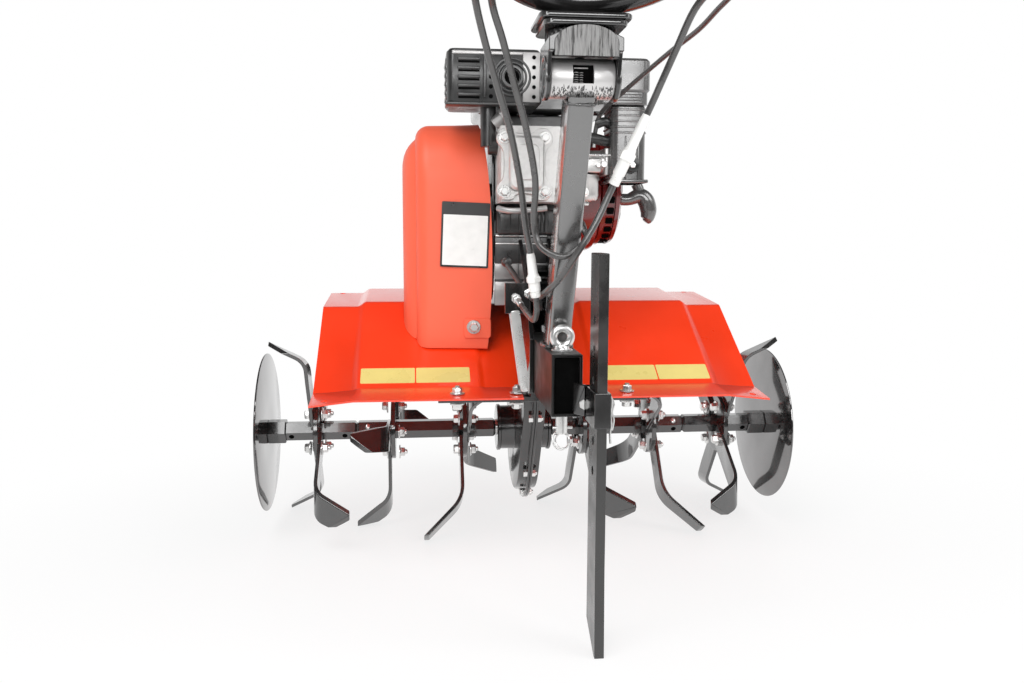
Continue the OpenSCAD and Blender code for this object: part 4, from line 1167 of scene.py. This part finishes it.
def make_welds():
    """Rough beads at the stem's two ends and along the head's ears, and spatter under the barrel."""
    shape = Shape()
    neck = TILT_AXIS - STEM_ALONG * (BARREL_R - 1)
    w, d = STEM_W / 2 + 0.5, STEM_D / 2 - 2
    corners = [(-w, -d), (w, -d), (w, d), (-w, d), (-w, -d)]
    bead(shape, [neck + RIGHT * x + STEM_BACK * y for x, y in corners], 1.8, 1)
    bead(shape, [STEM_FOOT + UP + Vector((x, y * 1.1, 0)) for x, y in corners], 2.8, 2)
    draw = random.Random(7)
    strokes = 260
    for _ in range(strokes):
        x = draw.uniform(3 - BARREL_HALF, BARREL_HALF - 3)
        foot = draw.uniform(34, 78)
        tall = draw.uniform(3, 13)
        lean = draw.uniform(-1.2, 1.2)
        r = draw.uniform(0.35, 0.8)
        stroke = []
        for t in (0, 0.5, 1):
            a = radians(foot - tall * t)
            out = Vector((0, cos(a), sin(a)))
            stroke.append(TILT_AXIS + Vector((x + lean * t, 0, 0)) - out * (BARREL_R - 0.1))
        shape.sweep(stroke, [r, r * 0.8, 0.12], 6)
    piece("stem_welds", shape, weld_steel)
    head = Shape()
    low, high = span("tilt_head")
    for side in (-1, 1):
        x = side * (high.x - 3)
        bead(head, [(x, low.y + 2, 546), (x, -552, 547), (x, -528, 547), (x, -508, 546)], 2.4, 5 + side)
    piece("head_welds", head, weld_steel, body="head")


make_welds()


# Head and handlebar

dress("tilt_head", black_paint, 1.2, 2, 40)


def make_swivel_plate():
    """Upper plate in two layers, the lower one set in, on its pivot."""
    low, high = span("swivel_plate")
    base = SWIVEL.z + 0.6
    groove = base + 6.0
    inset = 5.0
    shape = Shape()
    for inward, z0, z1 in ((inset, base, groove), (0, groove + 1.0, high.z)):
        corners = (low.x + inward, low.y + inward * 0.2), (high.x - inward, high.y - inward)
        outline = rounded_outline(*corners, 10, 6)
        shape.prism(outline, Matrix.Translation((0, 0, z0)), z1 - z0, 1.2)
    shape.rod((0, SWIVEL.y, low.z), (0, SWIVEL.y, high.z - 1), 20, 40, 1)
    piece("swivel_plates", shape, tine_black, "swivel_plate")


make_swivel_plate()


def make_head_plate():
    """Half-moon gusset with grinding marks behind the toothed plate, and rims around the ears."""
    low, high = span("tilt_head")
    half = 36.0
    base = 539.0
    shoulder = 553.0
    rise = high.z - shoulder
    arc = 24
    outline = [(-half, base), (half, base)]
    for i in range(arc + 1):
        a = pi * i / arc
        outline.append((half * cos(a), shoulder + rise * sin(a)))
    plate = Shape().prism(outline, rear_face(low.y + 0.5), 2.0, 0.6)
    piece("half_moon", plate, brushed_black, body="head")
    rims = Shape()
    ear_r = 23.2
    for side in (-1, 1):
        rims.ring((side * high.x, TILT_AXIS.y, TILT_AXIS.z), RIGHT, ear_r, 1.6, 56)
    piece("ear_rims", rims, stem_black, body="head")


make_head_plate()


def make_handlebar():
    """U-shaped tube on its pad, with round arms that rise and flare to the rear."""
    line = [arm_point(-1, BAR_ARM)]
    line += [arm_point(-1, BAR_ARM * (1 - k / 6)) for k in range(1, 6)]
    steps = 40
    for i in range(steps + 1):
        a = pi - BAR_FLARE - i * (pi - 2 * BAR_FLARE) / steps
        line.append(bar_point(BAR_BEND_R * cos(a), BAR_BEND_R * (sin(a) - 1)))
    line += [arm_point(1, BAR_ARM * k / 6) for k in range(1, 7)]
    shape = Shape().sweep(line, BAR_D / 2, 36)
    pad_top = BAR_Z - 1
    pad_low = span("swivel_plate")[1].z
    shape.block((-26, SWIVEL.y - 9, pad_low), (26, SWIVEL.y + 9, pad_top), 2)
    piece("handlebar_tube", shape, black_paint, "handlebar")


make_handlebar()


def make_grips():
    """Rubber grips with ribs, a collar in front and a closed end."""
    shape = Shape()
    r = 18.5
    for side in (-1, 1):
        start = arm_point(side, BAR_ARM - GRIP_L)
        end = arm_point(side, BAR_ARM + 8)
        length = (end - start).length
        groove = r - 1.6
        crest = r - 0.3
        profile = [(0, 15.2), (0, r - 1), (1, r), (7, r), (8, groove)]
        ribs = 13
        pitch = (length - 20) / ribs
        for k in range(ribs):
            x = 9 + k * pitch
            profile += [(x, groove), (x + pitch * 0.25, crest)]
            profile += [(x + pitch * 0.6, crest), (x + pitch * 0.85, groove)]
        profile += [(length - 10, groove), (length - 8, r), (length - 3, r), (length - 1, r - 1.5)]
        profile += [(length, r - 5), (length, 0)]
        shape.turned(start, end - start, profile, 40)
    piece("rubber_grips", shape, grip_rubber, "grips", sharp=60)


make_grips()


def make_levers():
    """Clamps with a bent clutch lever under each grip, and the throttle lever."""
    shape = Shape()
    clamp = [(0, 15.2), (0, 18.5), (1.5, 20), (22.5, 20), (24, 18.5), (24, 15.2)]
    for side, along in ((-1, LEVER_AT), (1, LEVER_AT), (1, THROTTLE_AT)):
        start = arm_point(side, along)
        shape.turned(start, arm_point(side, along + 24) - start, clamp, 36)
    # Distance along the arm, lift and radius of each stop of the clutch levers
    stops = [(2, -20, 5.5), (14, -38, 6), (22, -46, 5.2), (60, -48, 5), (110, -47, 5)]
    stops += [(146, -48, 5), (151, -48, 3)]
    steps = 6
    for side in (-1, 1):
        line = catmull([arm_point(side, LEVER_AT + along, lift) for along, lift, _ in stops], steps)
        shape.sweep(line, [stops[i // steps][2] for i in range(len(line))], 16, 0.75)
    thumb = [arm_point(1, THROTTLE_AT + 9, lift) for lift in (15, 30, 45, 58, 61)]
    shape.sweep(thumb, [6, 5.5, 5, 6.5, 4], 16, 0.7)
    piece("lever_set", shape, black_plastic, "control_levers")
    screws = Shape()
    for side in (-1, 1):
        upwards = arm_point(side, 0, 10) - arm_point(side, 0)
        screws.bolt(arm_point(side, LEVER_AT + 12, 19.5), upwards, 8, washer=False)
    piece("lever_screws", screws, zinc_steel, body="handlebar")


make_levers()

# Engine

dress("crankcase", cast_black, 3.0, 3)
dress("cylinder", cast_alloy, 0.8)
dress("exhaust_pipe", cast_black, 1.0)
dress("fuel_tank", black_paint, 9.0, 4, 50)


def make_front_details():
    """The tank's seam, and on the engine's front the block's ribs and the cover with its plug."""
    low, high = span("fuel_tank")
    seam = Shape()
    proud = 2.5
    outline = rounded_outline((low.x - proud, low.y - proud), (high.x + proud, high.y), 14, 8)
    seam.prism(outline, Matrix.Translation((0, 0, (low.z + high.z) / 2 - 2)), 4, 1)
    piece("tank_seam", seam, black_paint)
    low, high = span("crankcase")
    middle = (low.x + high.x) / 2 + 20
    block = Shape()
    rib_z = 470.0
    block.row(7, (0, 0, 8.5), (middle - 52, high.y - 4, rib_z), (middle + 52, high.y + 5, rib_z + 3), 1)
    cover_z = 412.0
    cover_r = 44.0
    profile = [(-3, cover_r), (4, cover_r), (6, cover_r - 2), (6, 30), (9, 27), (9, 14), (12, 12), (12, 0)]
    block.turned((middle, high.y, cover_z), FORWARD, profile, 56)
    plug = [(0, 11), (6, 11), (7, 13), (13, 13), (14, 11), (14, 0)]
    block.turned((middle + 38, high.y - 2, 362), FORWARD, plug, 28)
    piece("block_ribs", block, cast_black)
    bolt_r = cover_r - 7
    places = [(middle + bolt_r * cos(a), high.y + 5.8, cover_z + bolt_r * sin(a))
              for a in turns(6, pi / 6)]
    fasten("block_bolts", places, FORWARD, 9)


make_front_details()


def make_muffler():
    """Muffler box: louvres and a perforated field on its rear face, slots along the top and louvred side, their
    openings dark patches of painted shade.
    """
    low, high = span("muffler")
    shape = Shape()
    flat = Matrix.Translation((0, 0, low.z))
    shape.prism(rounded_outline((low.x, low.y), (high.x, high.y), 11, 8), flat, high.z - low.z, 5)
    shape.block((low.x - 2.0, low.y - 2.0, low.z - 1), (high.x - 20, low.y + 40, low.z + 3), 1)
    rear = low.y
    louvres = 5
    pitch = (0, 0, 13.0)
    z = low.z + 12
    shape.row(louvres, pitch, (low.x + 16, rear - 1.6, z), (low.x + 50, rear + 2, z + 5), 1.5)
    shape.row(louvres, pitch, (low.x - 1.6, rear + 14, z), (low.x + 2, high.y - 14, z + 5), 1.5)
    shape.block((low.x + 54, rear - 2, low.z + 10), (low.x + 60, rear + 2, high.z - 8), 1.6)
    centre = (low.x + 98, rear, (low.z + high.z) / 2)
    for r in (27.0, 21.0):
        shape.ring(centre, FORWARD, r, 2.4)
    shape.turned(centre, BACK, [(-2, 17), (5, 17), (6, 16), (6, 13), (1, 12)], 40)
    piece("muffler_box", shape, cast_black, "muffler")
    panel = Shape()
    panel.block((high.x - 30, rear - 1.4, low.z + 4), (high.x - 4, rear + 2, high.z - 4), 1.2)
    panel.block((low.x + 8, rear - 1.0, high.z - 9), (high.x - 30, rear + 2, high.z - 4), 0.8)
    piece("muffler_panel", panel, pressed_steel)
    # Dark patches of painted shade in the louvres' gaps, the holes, the top slots and the outlet.
    dark = Shape()
    z = low.z + 8.6
    dark.row(louvres, pitch, (low.x + 17, rear - 0.5, z), (low.x + 49, rear + 1, z + 3.2), 0.4)
    dark.row(louvres, pitch, (low.x - 0.5, rear + 15, z), (low.x + 1, high.y - 15, z + 3.2), 0.4)
    for k in range(5):
        for x in (high.x - 13, low.x + 66):
            dark.turned((x, rear + 1, low.z + 12 + k * 14.5), BACK, [(0, 3.2), (2.9, 3.0)], 18)
    x = low.x + 20
    dark.row(7, (16, 0, 0), (x, rear + 6, high.z - 0.6), (x + 6, rear + 26, high.z + 0.5), 0.3)
    dark.turned((centre[0], rear - 0.5, centre[2]), BACK, [(0, 12), (0.6, 11.5)], 32)
    piece("muffler_slot_painted_shade", dark, painted_hole_shade)


make_muffler()


def make_valve_cover():
    """Cast cover: a flange with lugs, a raised body and its bolts."""
    low, high = span("valve_cover")
    place = rear_face(high.y)
    shape = Shape()
    depth = high.y - low.y
    waist = 9.0
    left, right = low.x, high.x
    half_low = [(8, 0), (22, 0), (30, 8)]
    half_high = [(30, 6), (22, 0), (8, 0)]
    flank = [(0, 9), (0, 20), (waist, 34)]
    outline = [(left + u, low.z + v) for u, v in half_low]
    outline += [(right - u, low.z + v) for u, v in half_low[::-1] + flank]
    outline += [(right - u, high.z - v) for u, v in flank[::-1] + half_high[::-1]]
    outline += [(left + u, high.z - v) for u, v in half_high + flank]
    outline += [(left + u, low.z + v) for u, v in flank[::-1]]
    line = catmull([(u, v, 0) for u, v in outline + outline[:1]], 3)[:-1]
    shape.prism([(p.x, p.y) for p in line], place, 7, 1.2)
    raised = Matrix.Translation((0, -6, 0)) @ place
    shape.prism(rounded_outline((left + 17, low.z + 14), (right - 13, high.z - 11), 12), raised, depth - 6, 4)
    field = rounded_outline((left + 27, low.z + 28), (right - 21, high.z - 24), 8)
    shape.prism(field, raised, depth - 4.4, 1.4)
    piece("valve_cover_cast", shape, cast_alloy, "valve_cover")
    places = [(x, high.y - 7, z) for x in (left + 11, right - 11) for z in (low.z + 12, high.z - 13)]
    fasten("valve_cover_bolts", places, BACK, 11)


make_valve_cover()


def make_starter():
    """Fan shroud and recoil starter with vents of painted shade around the rim and on its face, and the pull grip.
    """
    low, high = span("fan_shroud")
    hub = Vector((0, (low.y + high.y) / 2, (low.z + high.z) / 2))
    r = (high.z - low.z) / 2
    shroud = Shape()
    profile = [(low.x, r - 6), (low.x + 2, r - 1), (low.x + 5, r)]
    profile += [(high.x - 10, r), (high.x - 3, r - 3), (high.x, r - 9)]
    shroud.turned(hub, RIGHT, profile, 96)
    piece("shroud_shell", shroud, red_paint, "fan_shroud")
    low, high = span("recoil_starter")
    r = (high.z - low.z) / 2
    cover = Shape()
    profile = [(low.x, r - 3), (low.x + 2, r), (low.x + 8, r), (low.x + 9, r - 4)]
    profile += [(high.x - 16, r - 4), (high.x - 15, r - 1)]
    profile += [(high.x - 8, r - 4), (high.x - 3, r - 14), (high.x - 2, r - 30), (high.x, r - 34)]
    profile += [(high.x, 26), (high.x - 3, 22), (high.x - 3, 0)]
    cover.turned(hub, RIGHT, profile, 96)
    # Thin dark patches of painted shade stand for the vents' openings.
    vents = Shape()
    rim_vents = 30
    face_vents = 10
    for count in (rim_vents, face_vents):
        for a in turns(count):
            out = Vector((0, cos(a), sin(a)))
            along = Vector((0, -sin(a), cos(a)))
            if count == rim_vents:
                place = basis(RIGHT, along, out, hub + RIGHT * (low.x + 10) + out * (r - 3.4))
                vents.prism(rounded_outline((1, -5.5), (13, 5.5), 2, 3), place, 0.9)
            else:
                place = basis(out, along, RIGHT, hub + RIGHT * (high.x - 2.2))
                vents.prism(rounded_outline((r - 29, -7), (r - 17, 7), 3, 3), place, 0.5)
    piece("recoil_cover", cover, red_paint, "recoil_starter")
    piece("recoil_vent_painted_shade", vents, painted_hole_shade)
    low, high = span("recoil_grip")
    y = (low.y + high.y) / 2
    handle = Shape()
    stops = [(0, 404, 10), (16, 404, 10), (34, 410, 13), (45, 402, 14.5), (50, 386, 14), (48, 372, 11)]
    stops.append((45, low.z + 1, 5))
    steps = 6
    line = catmull([(low.x + out, y, z) for out, z, _ in stops], steps)
    radii = []
    for i in range(len(line)):
        k, t = divmod(i, steps)
        thick = stops[k][2]
        radii.append(thick + (stops[min(k + 1, len(stops) - 1)][2] - thick) * t / steps)
    handle.sweep(line, radii, 20)
    handle.sweep(catmull([(low.x + 34, y, 410), (low.x + 33, y, 420), (low.x + 28, y, 430)], 6), 9.0, 20)
    piece("pull_grip", handle, gloss_plastic, "recoil_grip")


make_starter()


def make_fuel_cap():
    """Knurled cap on the tank."""
    low, high = span("fuel_cap")
    x, y = (low.x + high.x) / 2, (low.y + high.y) / 2
    r = (high.x - low.x) / 2
    h = high.z - low.z
    shape = Shape()
    profile = [(0, r - 4), (2, r - 4), (3, r - 1), (4, r)]
    profile += [(h - 5, r - 0.5), (h - 2, r - 3), (h, r - 7), (h, 0)]
    shape.turned((x, y, low.z), UP, profile, 48)
    knurls = 20
    for a in turns(knurls):
        place = Vector((x + (r - 0.8) * cos(a), y + (r - 0.8) * sin(a), low.z + 4))
        shape.rod(place, place + UP * (h - 9), 1.6, 10, 0.5)
    piece("fuel_cap_knob", shape, black_plastic, "fuel_cap")


make_fuel_cap()


def make_air_cleaner():
    """Cap and ribbed body, with a grille between them and a knob on the rear."""
    low, high = span("air_cleaner_cap")
    cap = Shape()
    brim = 18.0
    outline = rounded_outline((low.x, low.y), (high.x, high.y), 13, 8)
    cap.prism(outline, Matrix.Translation((0, 0, low.z + brim)), high.z - low.z - brim, 4)
    outline = rounded_outline((low.x + 3, low.y + 3), (high.x - 3, high.y - 3), 11, 8)
    cap.prism(outline, Matrix.Translation((0, 0, low.z)), brim + 1, 1)
    z = low.z + 1.5
    cap.row(4, (0, 0, 4.2), (low.x + 12, low.y + 1, z), (high.x - 14, low.y + 8, z + 1.8), 0.5)
    piece("cleaner_cap", cap, gloss_plastic, "air_cleaner_cap")
    low, high = span("air_cleaner_body")
    body = Shape()
    outline = rounded_outline((low.x, low.y), (high.x, high.y), 12, 8)
    body.prism(outline, Matrix.Translation((0, 0, low.z)), high.z - low.z, 3)
    rib = rounded_outline((low.x - 1.5, low.y - 1.5), (high.x + 1.5, high.y + 1.5), 13, 8)
    for k in range(5):
        body.prism(rib, Matrix.Translation((0, 0, high.z - 8 - k * 8.5)), 3, 1)
    body.block((low.x - 3, low.y - 3, low.z), (high.x + 3, high.y + 3, low.z + 5), 1.2)
    x = low.x + 20
    body.row(2, (20, 0, 0), (x, low.y - 1.5, low.z + 4), (x + 3, low.y + 3, high.z - 46), 1)
    piece("cleaner_body", body, gloss_plastic, "air_cleaner_body")
    knob = Shape()
    knob_x, knob_z = 139, 450
    profile = [(0, 11), (2, 12), (6, 12), (7, 10), (10, 9.5), (11, 8), (11, 0)]
    knob.turned((knob_x, low.y + 1, knob_z), BACK, profile, 30)
    piece("cleaner_knob", knob, black_plastic)
    fasten("cleaner_screw", [(knob_x, low.y - 9.5, knob_z)], BACK, 9, washer=False)


make_air_cleaner()


def make_carburettor():
    """Body with flanges, float bowl, drain bolt, linkage and intake pipe."""
    low, high = span("carburettor")
    y = (low.y + high.y) / 2
    z0, z1 = 436, 478
    throat_z = 458.0
    throat_r = 17.0
    x = 77.0
    shape = Shape()
    shape.block((low.x, low.y + 8, z0), (low.x + 7, high.y - 4, z1), 2)
    shape.block((high.x - 7, low.y + 8, z0), (high.x, high.y - 4, z1), 2)
    shape.rod((low.x, y, throat_z), (high.x, y, throat_z), throat_r, 32)
    shape.block((x - 20, low.y + 4, 440), (x + 20, high.y - 2, 462), 3)
    bowl = [(0, 7), (0, 16), (3, 18.5), (8, 19.5), (30, 19.5), (32, 21), (39, 21), (40, 19)]
    shape.turned((x, y + 1, low.z), UP, bowl, 40)
    piece("carburettor_cast", shape, cast_alloy, "carburettor")
    bolts = Shape()
    bolts.bolt((x, y + 1, low.z + 0.5), DOWN, 11)
    bolts.bolt((x - 6, y - 18, low.z + 12), BACK, 9)
    for dx in (-14, 14):
        bolts.bolt((x + dx, low.y + 4.5, 451), BACK, 7, washer=False)
    bolts.rod((x - 30, low.y + 2, 466), (x + 48, low.y + 2, 466), 1.6, 10)
    bolts.rod((x + 22, low.y - 3, 452), (x + 22, low.y + 6, 452), 5, 16, 1)
    piece("carburettor_bolts", bolts, zinc_steel)
    dark = Shape()
    line = [(low.x + 8, low.y + 12, 486), (x, low.y + 8, 492), (x + 24, low.y + 9, 488)]
    dark.sweep(catmull(line + [(x + 36, low.y + 14, 488)], 6), 8, 18)
    dark.block((x - 24, low.y + 14, 476), (x + 6, high.y - 6, 500), 4)
    line = [(x + 10, low.y + 3, 512), (x + 22, low.y + 2, 516), (x + 32, low.y + 8, 512)]
    dark.sweep(catmull(line, 6), 7, 16)
    piece("intake_pipe", dark, black_plastic)


make_carburettor()


def make_engine_details():
    """Base rails, exhaust stub, breather pipe and the idler knob below the engine."""
    alloy = Shape()
    pipe = [(-66, -228, 384), (-50, -240, 380), (-20, -242, 381), (6, -238, 384)]
    alloy.sweep(catmull(pipe, 8), 4.4, 18)
    alloy.turned((-66, -176, 512), (0.75, -0.2, 0.62), [(0, 12), (16, 12), (17, 16), (24, 16), (25, 11)], 32)
    piece("breather_pipe", alloy, pressed_steel)
    rails = Shape()
    for z, thick in ((341.5, 3.0), (329.5, 2.0)):
        rails.block((-63, -152.5, z), (20, -147, z + thick), 0.8)
    piece("bed_edges", rails, zinc_steel)
    apron = Shape()
    apron.block((-64, -151.5, 274), (-26, -148.5, 299), 1)
    apron.block((-64, -150.5, 232), (-26, -147.5, 271), 1)
    piece("bed_apron", apron, pressed_steel)
    sill = Shape()
    sill.block((-64, -151.8, 299), (20, -147, 341), 1.5)
    sill.block((-64, -152, 270), (-26, -147, 274.5), 1)
    for x in (9, 15):
        sill.rod((x, -171, 348), (x, -171, 384), 2.4, 12, 0.6)
    piece("bed_sill", sill, cast_black)
    base = Shape()
    base.block((-62, -168, 345), (34, -124, 384), 5)
    base.row(3, (30, 0, 0), (-58, -170.5, 350), (-40, -166, 378), 2)
    base.turned((-51, -196, 302), (0.2, -1, 0.1), [(0, 4), (1, 6), (4, 8), (10, 8), (14, 5.5), (15.5, 0)], 28)
    base.sweep([(-50, -205, 300), (-42, -240, 285), (-33, -292, 264)], 4.2, 14)
    base.rod((-50, -146, 303), (-50, -200, 302), 5, 16)
    piece("engine_base", base, cast_black)


make_engine_details()

# Carried-over solids keep their form and take a material

for solid in frame["nodes"].values():
    if not solid.hide_render:
        solid.data.materials.clear()
        solid.data.materials.append(black_paint)
